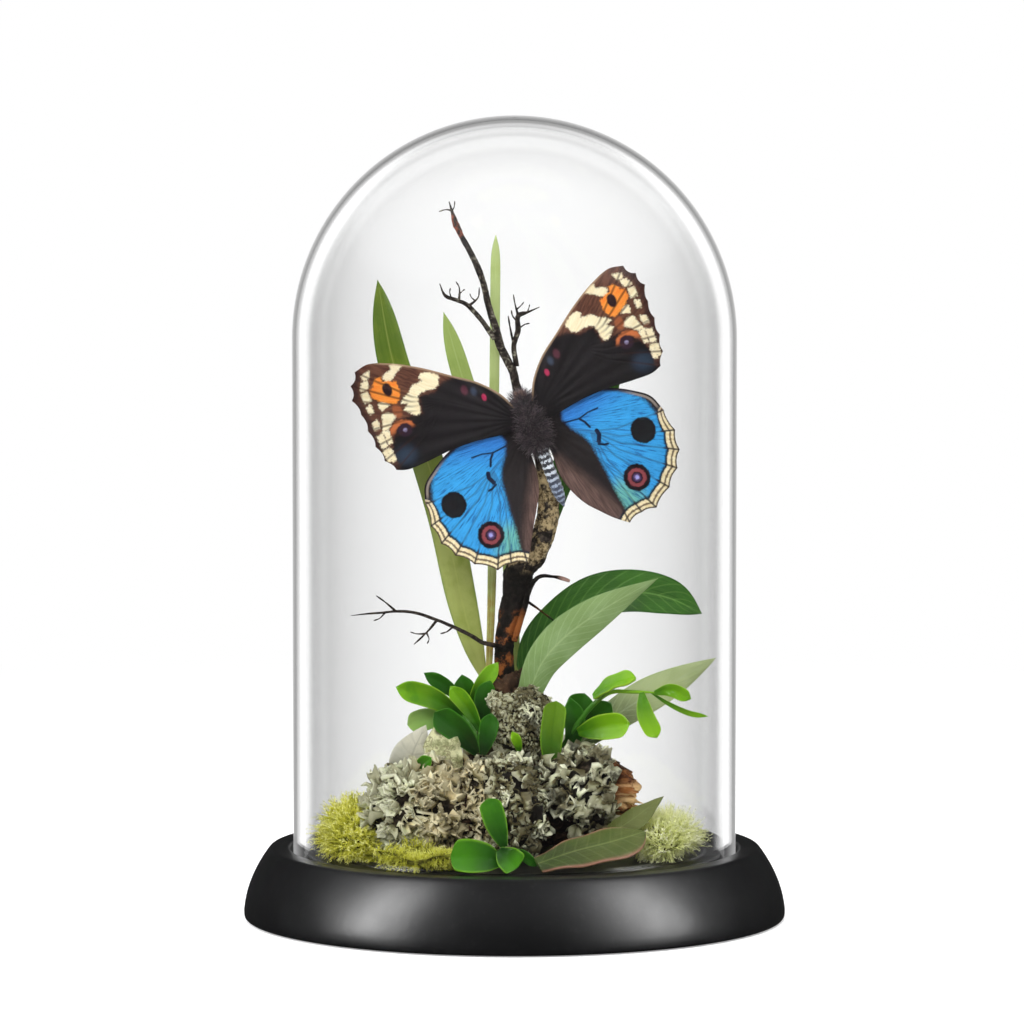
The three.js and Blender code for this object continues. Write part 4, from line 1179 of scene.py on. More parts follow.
def bladeMesh(name, sizes, seed):
    get = {**bladeDefaults, **sizes}
    first, last = np.array(get["facing"][0], float), np.array(get["facing"][-1], float)
    half = bladeGrid["across"]
    across = np.cos(np.linspace(np.pi, 0, half + 1))
    ringU = np.concatenate([across, across[::-1][1:-1]])
    topSide = np.concatenate([np.ones(half + 1), -np.ones(half - 1)])
    crowded, (deep, furrow), (waves, apart) = bladeGrid["crowded"], bladeGrid["trough"], bladeGrid["waves"]
    steps = np.linspace(0, 1, bladeGrid["along"] + 1)
    rings, uv = [], []
    for s in steps:
        t = (1 - crowded) * s + crowded * (0.5 - 0.5 * math.cos(math.pi * s))
        centre, _, side, up = frameAt(get["line"], t, first * (1 - t) + last * t)
        rise = get["root"] + (1 - get["root"]) * math.sin(math.pi / 2 * min(1, t / get["peak"]))
        fall = math.cos(math.pi / 2 * max(0, (t - get["peak"]) / (1 - get["peak"])) ** get["blunt"])
        wide = max(0.05, get["width"] * rise * fall / 2)
        body = get["thickness"] / 2 * min(1, wide / 0.6) * (0.25 + 0.75 * np.sqrt(1 - ringU**2))
        ripple = np.sin(t * waves + seed + apart * np.sign(ringU))
        sway = get["wave"] * np.abs(ringU) ** 2 * ripple * min(1, wide)
        trough = deep * np.exp(-((ringU * wide / furrow) ** 2)) * min(1, wide / 1.5)
        bent = get["fold"] * wide * np.abs(ringU)
        height = topSide * body - bent - trough + sway + get["cup"] * wide * ringU**2
        rings.append(underGlass(centre + np.outer(ringU * wide, side) + np.outer(height, up)))
        uv += [((u + 1) / 2, t) for u in ringU]
    mesh = ringMesh(name, rings, uv)
    storeValues(mesh, "below", np.tile(topSide < 0, len(steps)))
    return faceOutwards(mesh)


def veinGroup():  # midrib, side veins and an edge mask for a blade, from its own across-and-along map
    tree = bpy.data.node_groups.new("leafVeins", "ShaderNodeTree")
    for name in ("Side Veins", "Slant", "Midrib Width"):
        tree.interface.new_socket(name, in_out="INPUT", socket_type="NodeSocketFloat")
    for name in ("Across", "Along", "Midrib", "Veins", "Edge"):
        tree.interface.new_socket(name, in_out="OUTPUT", socket_type="NodeSocketFloat")
    enter, leave = tree.nodes.new("NodeGroupInput"), tree.nodes.new("NodeGroupOutput")
    wide, slant, count = (enter.outputs[name] for name in ("Midrib Width", "Slant", "Side Veins"))
    spot = addNode(tree, "ShaderNodeUVMap", uv_map="along").outputs[0]
    across, t = axis(tree, spot, 0), axis(tree, spot, 1)
    out = calc(tree, "ABSOLUTE", calc(tree, "SUBTRACT", times(tree, across, 2.0), 1.0))
    rib = addNode(tree, "ShaderNodeMapRange", {"Value": out, "From Max": wide, "To Min": 1.0, "To Max": 0.0})
    slanted = calc(tree, "SUBTRACT", t, times(tree, out, slant))
    wave = calc(tree, "SINE", times(tree, slanted, count))
    for name, value in (
        ("Across", out), ("Along", t), ("Midrib", rib.outputs[0]),
        ("Veins", span(tree, wave, 0.72, 1.0)), ("Edge", span(tree, out, 0.8, 1.0)),
    ):
        tree.links.new(value, leave.inputs[name])
    return tree


leafDefaults = {
    "roughness": 0.45, "coat": 0.1, "inner": 0.0, "relief": 0.35,
    "veins": 60.0, "slant": 0.12, "rib": 0.07, "blotch": 220.0,
    "fibre": 0.25, "veinShare": 0.3, "ribShare": 0.6, "edgeShare": 0.4, "underShare": 0.45,
}


def leafMaterial(name, look):
    look = {**leafDefaults, **look}
    material, tree, shader = newMaterial(
        name, Roughness=look["roughness"], Coat_Roughness=0.25, Coat_Weight=look["coat"],
        Subsurface_Weight=look["inner"], Subsurface_Radius=(0.0006, 0.0012, 0.0003),
    )
    given = {"Side Veins": look["veins"], "Slant": look["slant"], "Midrib Width": look["rib"]}
    veins = addNode(tree, "ShaderNodeGroup", given, node_tree=bpy.data.node_groups["leafVeins"]).outputs
    cloud = speckle(tree, objectPoint(tree), look["blotch"], 4.0, 0.6)
    fibre = addNode(tree, "ShaderNodeCombineXYZ", {0: times(tree, veins["Across"], 20.0), 1: veins["Along"]})
    grain = speckle(tree, fibre.outputs[0], 3.0, 4.0, 0.7)
    tone = mixed(tree, span(tree, veins["Along"], *look["turn"]), look["low"], look["high"])
    tone = mixed(tree, span(tree, cloud, 0.42, 0.7, 0.0, 0.7), tone, look["patch"])
    for mask, share, shade in (
        (span(tree, grain, 0.4, 0.7), "fibre", "vein"), (veins["Veins"], "veinShare", "vein"),
        (veins["Midrib"], "ribShare", "vein"), (veins["Edge"], "edgeShare", "edge"),
        (attribute(tree, "below"), "underShare", "under"),
    ):
        tone = mixed(tree, times(tree, mask, look[share]), tone, look[shade])
    paint(tree, shader, tone)
    height = calc(tree, "SUBTRACT", times(tree, grain, 0.5), times(tree, veins["Veins"], 0.7))
    bump(tree, shader, calc(tree, "ADD", height, times(tree, cloud, 0.5)), look["relief"], 0.00015)
    return material


leafLooks = {
    "strapGreen": {"low": "#9aa356", "high": "#4c6a0e", "turn": (0.4, 0.75), "patch": "#708420",
                   "vein": "#a3ab5a", "edge": "#4a7424", "under": "#93a566", "fibre": 0.3, "veins": 0.0,
                   "veinShare": 0.0},
    "strapPale": {"low": "#7f8d40", "high": "#9db45e", "turn": (0.1, 0.6), "patch": "#8da650",
                  "vein": "#bccf88", "edge": "#74943f", "under": "#a3b67a", "fibre": 0.3, "veinShare": 0.0},
    "grassBlade": {"low": "#8a6c22", "high": "#b6c880", "turn": (0.38, 0.55), "patch": "#a2b466",
                   "vein": "#c5d596", "edge": "#77933f", "under": "#a3b67a", "fibre": 0.3, "veinShare": 0.0},
    "darkBroad": {"low": "#1f5010", "high": "#1e4c08", "turn": (0.2, 0.8), "patch": "#306412",
                  "vein": "#7aa552", "edge": "#153f10", "under": "#6b9150", "veins": 90.0, "slant": 0.16,
                  "veinShare": 0.22, "roughness": 0.38, "coat": 0.12},
    "paleBroad": {"low": "#6c8a4a", "high": "#7c965a", "turn": (0.0, 0.9), "patch": "#88a26c",
                  "vein": "#a5ba86", "edge": "#7d9862", "under": "#93a878", "veins": 80.0, "slant": 0.2,
                  "veinShare": 0.25, "roughness": 0.5},
    "sideBroad": {"low": "#4b5c32", "high": "#c2d096", "turn": (0.32, 0.75), "patch": "#aebf82",
                  "vein": "#c0cfa4", "edge": "#9db07a", "under": "#aabb8c", "veins": 80.0, "slant": 0.2,
                  "veinShare": 0.25, "roughness": 0.5},
    "oliveBroad": {"low": "#343c14", "high": "#6d7440", "turn": (0.0, 0.9), "patch": "#4c5624",
                   "vein": "#7d8450", "edge": "#5f6a38", "under": "#5d6638", "veins": 60.0, "veinShare": 0.15,
                   "roughness": 0.5},
    "frontBroad": {"low": "#102004", "high": "#505926", "turn": (0.0, 0.85), "patch": "#33460f",
                   "vein": "#7f8c54", "edge": "#a0705e", "under": "#738c48", "veins": 60.0, "veinShare": 0.12,
                   "edgeShare": 0.85, "inner": 0.15},
    "papery": {"low": "#acaa9a", "high": "#dedbc8", "turn": (0.0, 0.8), "patch": "#a6a698", "vein": "#98988a",
               "edge": "#dedcd0", "under": "#b6b4a8", "veins": 38.0, "veinShare": 0.22, "roughness": 0.6,
               "coat": 0.0},
}
glossy = {"veins": 0.0, "veinShare": 0.0, "fibre": 0.15, "ribShare": 0.3, "edgeShare": 0.5, "roughness": 0.3,
          "coat": 0.2, "inner": 0.1}
sprigGreens = {  # at the stem, at the tip, in patches, along the middle, round the edge
    "sprigGlossy": ("#0c3203", "#72a80c", "#347206", "#45840c", "#9cc92c"),
    "sprigLime": ("#33690a", "#80b60a", "#5f9a06", "#6aa20c", "#aed23c"),
    "sprigDark": ("#052002", "#235805", "#103e03", "#1c5006", "#458a18"),
    "sprigDeep": ("#082803", "#3f7e08", "#205605", "#2c6808", "#86bf2c"),
    "sprigStrap": ("#0c3002", "#567c04", "#316203", "#285204", "#7aa814"),
    "sprigPale": ("#5d8a3a", "#8fb25c", "#7aa04a", "#86a858", "#a9c67c"),
}
for name, (low, high, patch, vein, edge) in sprigGreens.items():
    leafLooks[name] = {"low": low, "high": high, "patch": patch, "vein": vein, "edge": edge, "under": patch,
                       "turn": (0.1, 0.95), **glossy}
smallLeaves = {  # where each runs, its width and its green
    "small_leaf_left": ([(-15.5, -14, 25.2), (-14.4, -14.8, 26.4), (-13, -15.2, 27.4)], 2.2, "sprigDeep"),
    "small_leaf_middle": ([(0.8, -9, 27.4), (0.4, -10, 29.3), (-0.4, -11, 31)], 1.6, "sprigLime"),
    "small_leaf_behind_1": ([(-5, -4.4, 31), (-7.6, -4.4, 36), (-8.4, -4.4, 39.4)], 3.4, "sprigDark"),
    "small_leaf_behind_2": ([(-4.6, -5.2, 30), (-5, -5.4, 35), (-3.8, -5.2, 38.6)], 3.2, "sprigDark"),
    "small_leaf_behind_3": ([(8.4, -4.4, 26), (9.6, -5, 31), (8.8, -5.2, 35.8)], 3.4, "sprigDark"),
}


def makeLeaves():
    looks = {name: leafMaterial(name, look) for name, look in leafLooks.items()}
    strapLook = {"strap_leaf_left": "strapGreen", "strap_leaf_middle": "strapPale",
                 "grass_leaf": "grassBlade"}
    for seed, (name, sizes) in enumerate(strapLeaves.items()):
        addPiece(f"{name}_blade", bladeMesh(name, sizes, seed), looks[strapLook[name]], "strap_leaf", name)
    broadLook = {"dark_leaf": "darkBroad", "pale_leaf": "paleBroad", "papery_leaf": "papery"}
    ownLook = {"front_leaf": "frontBroad", "side_leaf_right": "sideBroad", "low_leaf_right": "oliveBroad"}
    for seed, (name, (slotName, sizes)) in enumerate(broadLeaves.items()):
        look = ownLook.get(name, broadLook[slotName])
        addPiece(f"{name}_blade", bladeMesh(name, sizes, seed + 5), looks[look], slotName, name)
    stemMaterial, tree, shader = newMaterial("greenStem", Roughness=0.45)
    point = objectPoint(tree)
    young = span(tree, axis(tree, point, 0), 0.012, 0.016)
    tone = mixed(tree, young, mixed(tree, speckle(tree, point, 400.0), "#163f0a", "#44801c"), "#86b82a")
    paint(tree, shader, tone)
    for sprig, parts in sprigs.items():
        line, radii = parts["stem"]
        addPiece(
            f"{sprig}_stalk", tubeMesh(f"{sprig}_stalk", line, radii, 12, 40, 0.06, 4), stemMaterial, "stem",
            f"{sprig}_stem"
        )
        for i, (line, width, facing, blunt, look) in enumerate(parts["leaves"]):
            sizes = {**sprigLeaf, "line": line, "width": width, "facing": facing, "blunt": blunt}
            mesh = bladeMesh(f"{sprig}_{i}", sizes, i)
            addPiece(f"{sprig}_blade_{i + 1}", mesh, looks[look], "sprig_leaf", f"{sprig}_leaf_{i + 1}")
    for name, (line, width, look) in smallLeaves.items():
        mesh = bladeMesh(name, {**sprigLeaf, "line": line, "width": width}, 2)
        addPiece(name, mesh, looks[look], "sprig_leaf")


# ---- twigs and trunk ----

woodLines = {
    "trunk": {
        "line": [(-1.5, 0, 37.5), (-1.5, -0.5, 44.5), (0, -1, 51), (0.7, -1, 55.5), (3.2, -1, 58.5),
                 (5, -1.2, 63), (5.4, -1.6, 68.5), (4.2, -2, 75), (2.2, -2, 80), (0.6, -1.8, 84),
                 (-0.4, -1.2, 88.3)],
        "radii": [1.5, 1.6, 2, 2.4, 2, 1.7, 1.7, 1.25, 0.9, 0.7, 0.65], "sides": 30, "steps": 220,
        "rough": 0.2,
    },
    "twig_leader": {
        "line": [(-0.3, -1.3, 87.6), (-2.2, -1, 91.6), (-3.8, -1, 97.1), (-5.8, -1, 104), (-8.4, -1, 109.1),
                 (-9.2, -1, 110.8), (-10.4, -1, 114.6)],
        "radii": [0.68, 0.64, 0.56, 0.5, 0.42, 0.52, 0.22],
        "spurs": [[(-10, -1, 113.2), (-11, -1, 113.3), (-12, -1, 113)],
                  [(-10, -1, 113), (-9.6, -1, 113.8), (-9.5, -1, 114.7)]],
    },
    "twig_fork_left": {
        "line": [(-3.2, -1.6, 92.8), (-4.9, -2, 95.3), (-7.5, -2.2, 98.2), (-8.9, -2.2, 98.9),
                 (-11, -2, 99.7), (-11.9, -2, 101.6)],
        "radii": [0.42, 0.38, 0.36, 0.32, 0.28, 0.22],
        "spurs": [[(-8.8, -2.2, 98.8), (-8.8, -2.2, 101), (-9.3, -2, 101.9)],
                  [(-7.4, -2.2, 98), (-5.8, -2.2, 99.4), (-5.6, -2, 101)],
                  [(-10, -2.1, 99.2), (-10.3, -2, 100.2), (-10.2, -2, 100.9)],
                  [(-8.9, -2.2, 99.8), (-8.3, -2.2, 100.4), (-7.9, -2.2, 100.7)],
                  [(-6.3, -2.2, 98.9), (-6.9, -2.2, 99.5), (-7.1, -2.2, 100)]],
    },
    "twig_fork_right": {
        "line": [(0.3, -0.8, 88.4), (-0.1, -0.4, 91.6), (0.5, -0.2, 94), (0.6, 0, 96.4), (1.9, 0, 96.9),
                 (4, 0.3, 97.8)],
        "radii": [0.45, 0.42, 0.4, 0.36, 0.26, 0.18],
        "spurs": [[(0.6, 0, 96.3), (0.1, 0, 98.2), (-0.2, 0, 99.8)],
                  [(-0.1, -0.4, 91.6), (-0.7, -0.3, 94.5), (-1, -0.2, 96.4)],
                  [(0.5, -0.2, 94.2), (1.6, 0, 95), (2.4, 0.1, 95.2)],
                  [(0.3, 0, 97.4), (1, 0, 98), (1.5, 0, 98.6)],
                  [(2, 0, 96.9), (2.3, 0, 97.7), (2.4, 0, 98.2)],
                  [(0.55, -0.1, 95.4), (-0.3, 0, 96.4), (-0.5, 0, 97.3)]],
    },
    "twig_side_left": {
        "line": [(-1.6, -1.6, 43.4), (-5, -3, 44.4), (-7.5, -4, 45.9), (-11.6, -4, 47.8), (-16.6, -4, 49.4),
                 (-21.8, -4, 49.2), (-26, -4, 48.8)],
        "radii": [0.4, 0.34, 0.3, 0.26, 0.22, 0.18, 0.12],
        "spurs": [[(-18.8, -4, 49.4), (-20.4, -4, 50.8), (-22, -4, 52)],
                  [(-12.4, -4, 48), (-13.9, -4.2, 46.2), (-16, -4.2, 44.2)],
                  [(-14.2, -4.2, 45.9), (-15.6, -4.3, 45.9), (-16.6, -4.3, 46.2)],
                  [(-14, -4.2, 46.1), (-13.6, -4.2, 45), (-13.9, -4.2, 44.3)],
                  [(-9.8, -4, 47), (-10.8, -4, 46.2), (-11.8, -4, 45.9)],
                  [(-20.6, -4, 49.3), (-21.4, -4, 48.4), (-22.4, -4, 48)]],
    },
    "twig_side_right": {
        "line": [(0, -2, 44.5), (1.6, -3, 50), (2.9, -3.6, 53.9), (4, -3.8, 55), (6.4, -3.8, 55),
                 (8.8, -3.8, 54.3)],
        "radii": [0.45, 0.42, 0.38, 0.3, 0.24, 0.75],
        "spurs": [[(1.9, -3.1, 51.1), (4.3, -3.3, 49.4), (6.4, -3.4, 47.8)]],
    },
}


def tubeMesh(name, line, radii, sides, steps, rough, seed, closing=True):
    length = sum(np.linalg.norm(np.subtract(b, a)) for a, b in zip(line, line[1:]))
    rings, uv = [], []
    for t in np.linspace(0, 1, steps + 1):
        centre, _, side, up = frameAt(line, t, (0, 1, 0))
        close = min(1, 0.35 + 12 * (1 - t) * length / 60) if closing else 1
        ring = []
        for a in np.linspace(0, 2 * np.pi, sides, endpoint=False):
            around = math.cos(a) * side + math.sin(a) * up
            ridge = fractal((math.cos(a) * 2.2, math.sin(a) * 2.2, t * length * 0.35), 1.0, seed)
            r = along(radii, t) * close * (1 + rough * ridge)
            ring.append(centre + r * around)
            uv.append((a / (2 * np.pi), t))
        rings.append(ring)
    return faceOutwards(ringMesh(name, rings, uv))


woodZones = {  # in metres: where each patch of colour on the branch comes in, and where it goes out again
    "trunkBeside": (-0.004, -0.003),
    "trunkBelow": (0.0575, 0.0555),
    "rustBelow": (0.051, 0.047),
    "knuckle": ((0.055, 0.0575), (0.074, 0.0705)),
    "flecksAbove": (0.084, 0.088),
    "node": ((0.1085, 0.1095), (0.113, 0.112)),
    "budBeside": (0.0066, 0.0078),
    "bud": ((0.0525, 0.0532), (0.0575, 0.0565)),
}
woodDefaults = {"sides": 12, "steps": 110, "rough": 0.3, "spurs": []}
spurSizes = {"radii": [0.26, 0.2, 0.17, 0.15, 0.28, 0.2], "sides": 8, "steps": 30, "rough": 0.35}


def twigMaterial():
    material, tree, shader = newMaterial("weatheredTwig", Roughness=0.8, Specular_IOR_Level=0.25)
    point = objectPoint(tree)
    x, z = axis(tree, point, 0), axis(tree, point, 2)
    cloud, fine = speckle(tree, point, 260.0, 5.0, 0.65), speckle(tree, point, 1300.0, 4.0, 0.7)
    tone = mixed(tree, span(tree, fine, 0.4, 0.65), "#1b1715", "#4a423b")
    onTrunk = times(tree, span(tree, x, *woodZones["trunkBeside"]), span(tree, z, *woodZones["trunkBelow"]))
    tone = mixed(tree, times(tree, onTrunk, 0.85), tone, "#060504")
    rusty = times(tree, onTrunk, span(tree, z, *woodZones["rustBelow"]))
    rust = times(tree, span(tree, cloud, 0.47, 0.55), rusty, 0.85)
    tone = mixed(tree, rust, tone, "#96572a")
    knuckle = between(tree, z, *woodZones["knuckle"])
    blotch = mixed(tree, span(tree, fine, 0.35, 0.6), "#3a2a18", "#b8a47c")
    tone = mixed(tree, times(tree, knuckle, span(tree, cloud, 0.49, 0.56)), tone, blotch)
    flecks = times(tree, span(tree, z, *woodZones["flecksAbove"]), span(tree, fine, 0.56, 0.66, 0.0, 0.75))
    tone = mixed(tree, flecks, tone, "#a3a08c")
    node = times(tree, between(tree, z, *woodZones["node"]), span(tree, fine, 0.42, 0.58))
    tone = mixed(tree, node, tone, "#8a4630")
    bud = times(tree, span(tree, x, *woodZones["budBeside"]), between(tree, z, *woodZones["bud"]), 0.8)
    tone = mixed(tree, bud, tone, "#a9887c")
    paint(tree, shader, tone)
    bump(tree, shader, calc(tree, "ADD", cloud, fine), 0.8, 0.00025)
    return material


def makeTwigs():
    material = twigMaterial()
    for seed, (name, sizes) in enumerate(woodLines.items()):
        get = {**woodDefaults, **sizes}
        shape = {key: get[key] for key in ("line", "radii", "sides", "steps", "rough")}
        parts = [tubeMesh(name, seed=seed + 3, closing=name != "trunk", **shape)]
        for k, spur in enumerate(get["spurs"]):
            parts.append(tubeMesh(f"{name}_{k}", spur, seed=seed + k, **spurSizes))
        addPiece(f"{name}_bark", joinMeshes(name, parts), material, "twig", name)


# ---- wood, lichen and moss: rough masses grown from the solids, with lobes and strands on them ----


# size of the voxels, height of the relief and inset are in millimetres
logRelief = {"voxel": 0.45, "rough": 1.3, "coarse": 0.42, "octaves": 3, "inset": 0.4, "grain": (0.3, 1, 1),
             "seed": 2}
stumpRelief = {"voxel": 0.45, "rough": 1.2, "coarse": 0.45, "octaves": 3, "inset": 0.3, "grain": (1, 1, 0.3),
               "seed": 5}
lichenRelief = {"voxel": 0.6, "rough": 2.2, "coarse": 0.2}
mossRelief = {"voxel": 0.7, "rough": 1.6, "coarse": 0.13, "inset": 1.9}


def roughened(node, voxel, rough, coarse, seed, inset=0.0, octaves=2, patchy=0.0, grain=None, gaps=0.28):
    mesh = frame["nodes"][node].data.copy()
    work = bmesh.new()
    work.from_mesh(mesh)
    bmesh.ops.remove_doubles(work, verts=work.verts, dist=1e-6)
    work.to_mesh(mesh)
    work.free()
    mesh.materials.clear()
    carrier = bpy.data.objects.new("carrier", mesh)
    bpy.context.scene.collection.objects.link(carrier)
    remesh = carrier.modifiers.new("even", "REMESH")
    remesh.mode = "VOXEL"
    remesh.voxel_size = voxel * mm
    soften = carrier.modifiers.new("soften", "SMOOTH")
    soften.iterations = 8
    soften.factor = 0.6
    result = evaluated(carrier)
    bpy.data.objects.remove(carrier)
    relief, cover, moved = [], [], []
    for vertex in result.vertices:
        where = vertex.co / mm
        if grain:  # long cracks between ridges that run the way the wood grew
            swell = 2.2 * abs(fractal(where * Vector(grain), coarse, seed, octaves)) - 0.55
        else:
            swell = fractal(where, coarse, seed, octaves)
        relief.append(swell)
        grown = noise.noise(where * 0.33 + Vector((seed * 5.1, 0, 0))) + gaps
        cover.append(min(1.0, max(0.0, 1 - patchy + patchy * 5 * grown)))
        moved.append(where + vertex.normal * (rough * swell - 0.2 * rough - inset))
    points = underGlass(np.array(moved)) * mm
    result.vertices.foreach_set("co", points.astype(np.float32).ravel())
    storeValues(result, "relief", relief)
    storeValues(result, "cover", cover)
    result.shade_smooth()
    result.update()
    return result


tornEnd = {  # the broken right end of the log, in millimetres, and its colours' places in metres
    "from": 13.5, "tip": (20.6, 22.3), "below": 0.5, "above": 1.4, "bite": 2.4,
    "splinters": 16, "middle": (17.0, -7.0, 20.4), "spread": (1.0, 4.0, 3.2),
    "brown": (0.0125, 0.0155), "tan": (0.0155, 0.0175), "tanBelow": (0.0235, 0.0215),
}


def barkMaterial():
    material, tree, shader = newMaterial("roughBark", Roughness=0.85)
    point = objectPoint(tree)
    cloud, fine = speckle(tree, point, 180.0, 6.0, 0.65), speckle(tree, point, 900.0, 5.0, 0.7)
    tone = mixed(tree, span(tree, cloud, 0.35, 0.62), "#17110d", "#4b3526")
    tone = mixed(tree, span(tree, fine, 0.5, 0.72, 0.0, 0.7), tone, "#7d6248")
    x, z = axis(tree, point, 0), axis(tree, point, 2)
    torn = times(tree, span(tree, x, *tornEnd["brown"]), span(tree, cloud, 0.34, 0.46))
    drawn = addNode(
        tree, "ShaderNodeVectorMath", {0: point, 1: (0.2, 1.0, 1.0)}, operation="MULTIPLY"
    ).outputs[0]
    fibre = speckle(tree, drawn, 700.0, 4.0, 0.7)
    brown = mixed(tree, span(tree, fibre, 0.38, 0.62), "#40210f", "#955f33")
    tan = mixed(tree, span(tree, fibre, 0.38, 0.62), "#955c2e", "#ecc690")
    # painted highlight: pale tan on the lower right of the torn wood, brown elsewhere
    tanHighlight = times(tree, span(tree, z, *tornEnd["tanBelow"]), span(tree, x, *tornEnd["tan"]))
    wood = mixed(tree, tanHighlight, brown, tan)
    # painted shade: the bark turns near black down in its cracks, where the relief is low
    tone = mixed(tree, span(tree, attribute(tree, "relief"), -0.5, 0.1, 0.85, 0.0), tone, "#0c0907")
    tone = mixed(tree, torn, tone, wood)
    paint(tree, shader, tone)
    bump(tree, shader, calc(tree, "ADD", cloud, fine), 0.9, 0.0004)
    return material


lichenLook = {  # tips, faces and roots of the frills, greener on the left and creamier in the middle; the near-black roots are painted shade
    "sage": ("#fafbde", "#c6cca2"),
    "cream": ("#fff6d2", "#dcc996"),
    "deep": "#1a150a",
    "under": "#6d6443",
    "creamBetween": ((-0.0185, -0.0135), (-0.002, -0.006)),  # metres across, and then upwards
    "creamBelow": (0.0285, 0.026),
}
lichenPieces = {
    "lichen_left": {
        "family": "broad", "inset": 1.3, "patchy": 0.8, "gaps": 0.3,
        "spread": {"Density": 9.0e5, "Smallest": 0.0017, "Largest": 0.0041, "Lean": 0.8, "Seed": 4},
    },
    "lichen_middle": {
        "family": "ruffled", "inset": 1.4, "patchy": 0.5, "gaps": 0.3,
        "spread": {"Density": 1.35e6, "Smallest": 0.0014, "Largest": 0.0028, "Lean": 0.7, "Seed": 7},
    },
    "lichen_right": {
        "family": "mixed", "inset": 1.3, "patchy": 1.0, "gaps": 0.02,
        "drawnIn": (0.0135, 0.25),  # in metres, and to what share, so that the log's torn end shows
        "spread": {"Density": 1.2e6, "Smallest": 0.0014, "Largest": 0.0040, "Lean": 0.7, "Seed": 9},
    },
    "lichen_back": {
        "family": "mixed", "inset": 1.2, "patchy": 0.8, "gaps": 0.25,
        "spread": {"Density": 6.0e5, "Smallest": 0.0016, "Largest": 0.0034, "Lean": 0.6, "Seed": 12},
    },
    "lichen_stump": {
        "family": "crumbs", "inset": 0.7, "patchy": 0.6, "gaps": 0.28,
        "spread": {"Density": 3.4e6, "Smallest": 0.0008, "Largest": 0.0016, "Lean": 0.7, "Seed": 6},
    },
}
logCrust = {  # lichen on the bark itself, over the front and the top, clear of the torn end
    "spread": {"Density": 7.0e5, "Smallest": 0.0012, "Largest": 0.0030, "Lean": 0.8, "Seed": 15},
    "clearFrom": 12.5,
    "sparseFrom": -3.0,
    "front": -4.0,
    "top": 24,
    "lowest": 14.0,
    "bare": (0.12, -0.1),  # noise below this is left bare, beyond sparseFrom and before it
}


def sheetMesh(name, top, tips, thickness):  # a grid of points, closed with an underside and a rim
    rows, n = top.shape[:2]
    across = np.gradient(top, axis=1)
    down = np.gradient(top, axis=0)
    normal = np.cross(down, across)
    normal /= np.maximum(np.linalg.norm(normal, axis=-1, keepdims=True), 1e-9)
    both = np.concatenate([top.reshape(-1, 3), (top - normal * thickness).reshape(-1, 3)])
    size = rows * n
    faces = []
    for i in range(rows - 1):
        for j in range(n - 1):
            a, b = i * n + j, (i + 1) * n + j
            faces.append((a, b, b + 1, a + 1))
            faces.append(tuple(k + size for k in (a, a + 1, b + 1, b)))
    loop = [*range(n), *[i * n + n - 1 for i in range(1, rows)], *range(size - 2, size - n - 1, -1)]
    loop += [i * n for i in range(rows - 2, 0, -1)]
    faces += [(a, a + size, b + size, b) for a, b in zip(loop, [*loop[1:], loop[0]])]
    mesh = bpy.data.meshes.new(name)
    mesh.from_pydata(both.tolist(), [], faces)
    storeValues(mesh, "tip", list(tips.ravel()) * 2)
    storeValues(mesh, "below", [0.0] * size + [1.0] * size)
    mesh.shade_smooth()
    return faceOutwards(mesh)


def lobeMesh(name, seed, curl, spread, ruffle):  # one frilled lobe, 1 long, growing along +X
    angles, shares = np.linspace(-spread, spread, 13), np.array([0.08, 0.4, 0.72, 1.0])
    top = np.zeros((len(shares), len(angles), 3))
    for i, s in enumerate(shares):
        for j, a in enumerate(angles):
            notch = 1 - 0.34 * s**2 * (0.5 + 0.5 * math.cos(7.4 * a + seed * 1.9)) - 0.15 * (a / spread) ** 2
            notch -= 0.26 * s**3 * (0.5 + 0.5 * math.cos(17.3 * a + seed * 2.7))
            r = s * notch
            lift = curl * s**2 + ruffle * s * math.sin(
                6.1 * a + seed * 1.7
            ) + 0.1 * fractal((r, a, 0), 3, seed)
            top[i, j] = (r * math.cos(a) * (1 - 0.25 * curl * s), r * math.sin(a), lift)
    return sheetMesh(name, top, np.repeat(shares[:, None], len(angles), 1), 0.07)


def ruffleMesh(name, seed, turns, height):  # a wavy upright frill, about 1 long, with its edge rolled over
    count, levels = 10, (0.0, 0.55, 1.0)
    path, heading, spot = [], seed * 0.9, np.zeros(2)
    for i in range(count):
        path.append(spot.copy())
        heading += turns[0] + turns[1] * math.sin(i * 1.1 + seed)
        spot = spot + 0.15 * np.array((math.cos(heading), math.sin(heading)))
    path = np.array(path) - np.mean(path, axis=0)
    outwards = np.gradient(path, axis=0)[:, ::-1] * (1, -1)
    outwards /= np.linalg.norm(outwards, axis=1, keepdims=True)
    top, tips = np.zeros((len(levels), count, 3)), np.zeros((len(levels), count))
    for i, level in enumerate(levels):
        for j in range(count):
            lift = height * level * (0.8 + 0.25 * math.sin(j * 1.7 + seed))
            flare = 0.26 * level**2 + 0.06 * math.sin(j * 2.3 + seed) * level
            top[i, j] = (*(path[j] + outwards[j] * flare), lift - 0.12)
            tips[i, j] = level
    return sheetMesh(name, top, tips, 0.11)


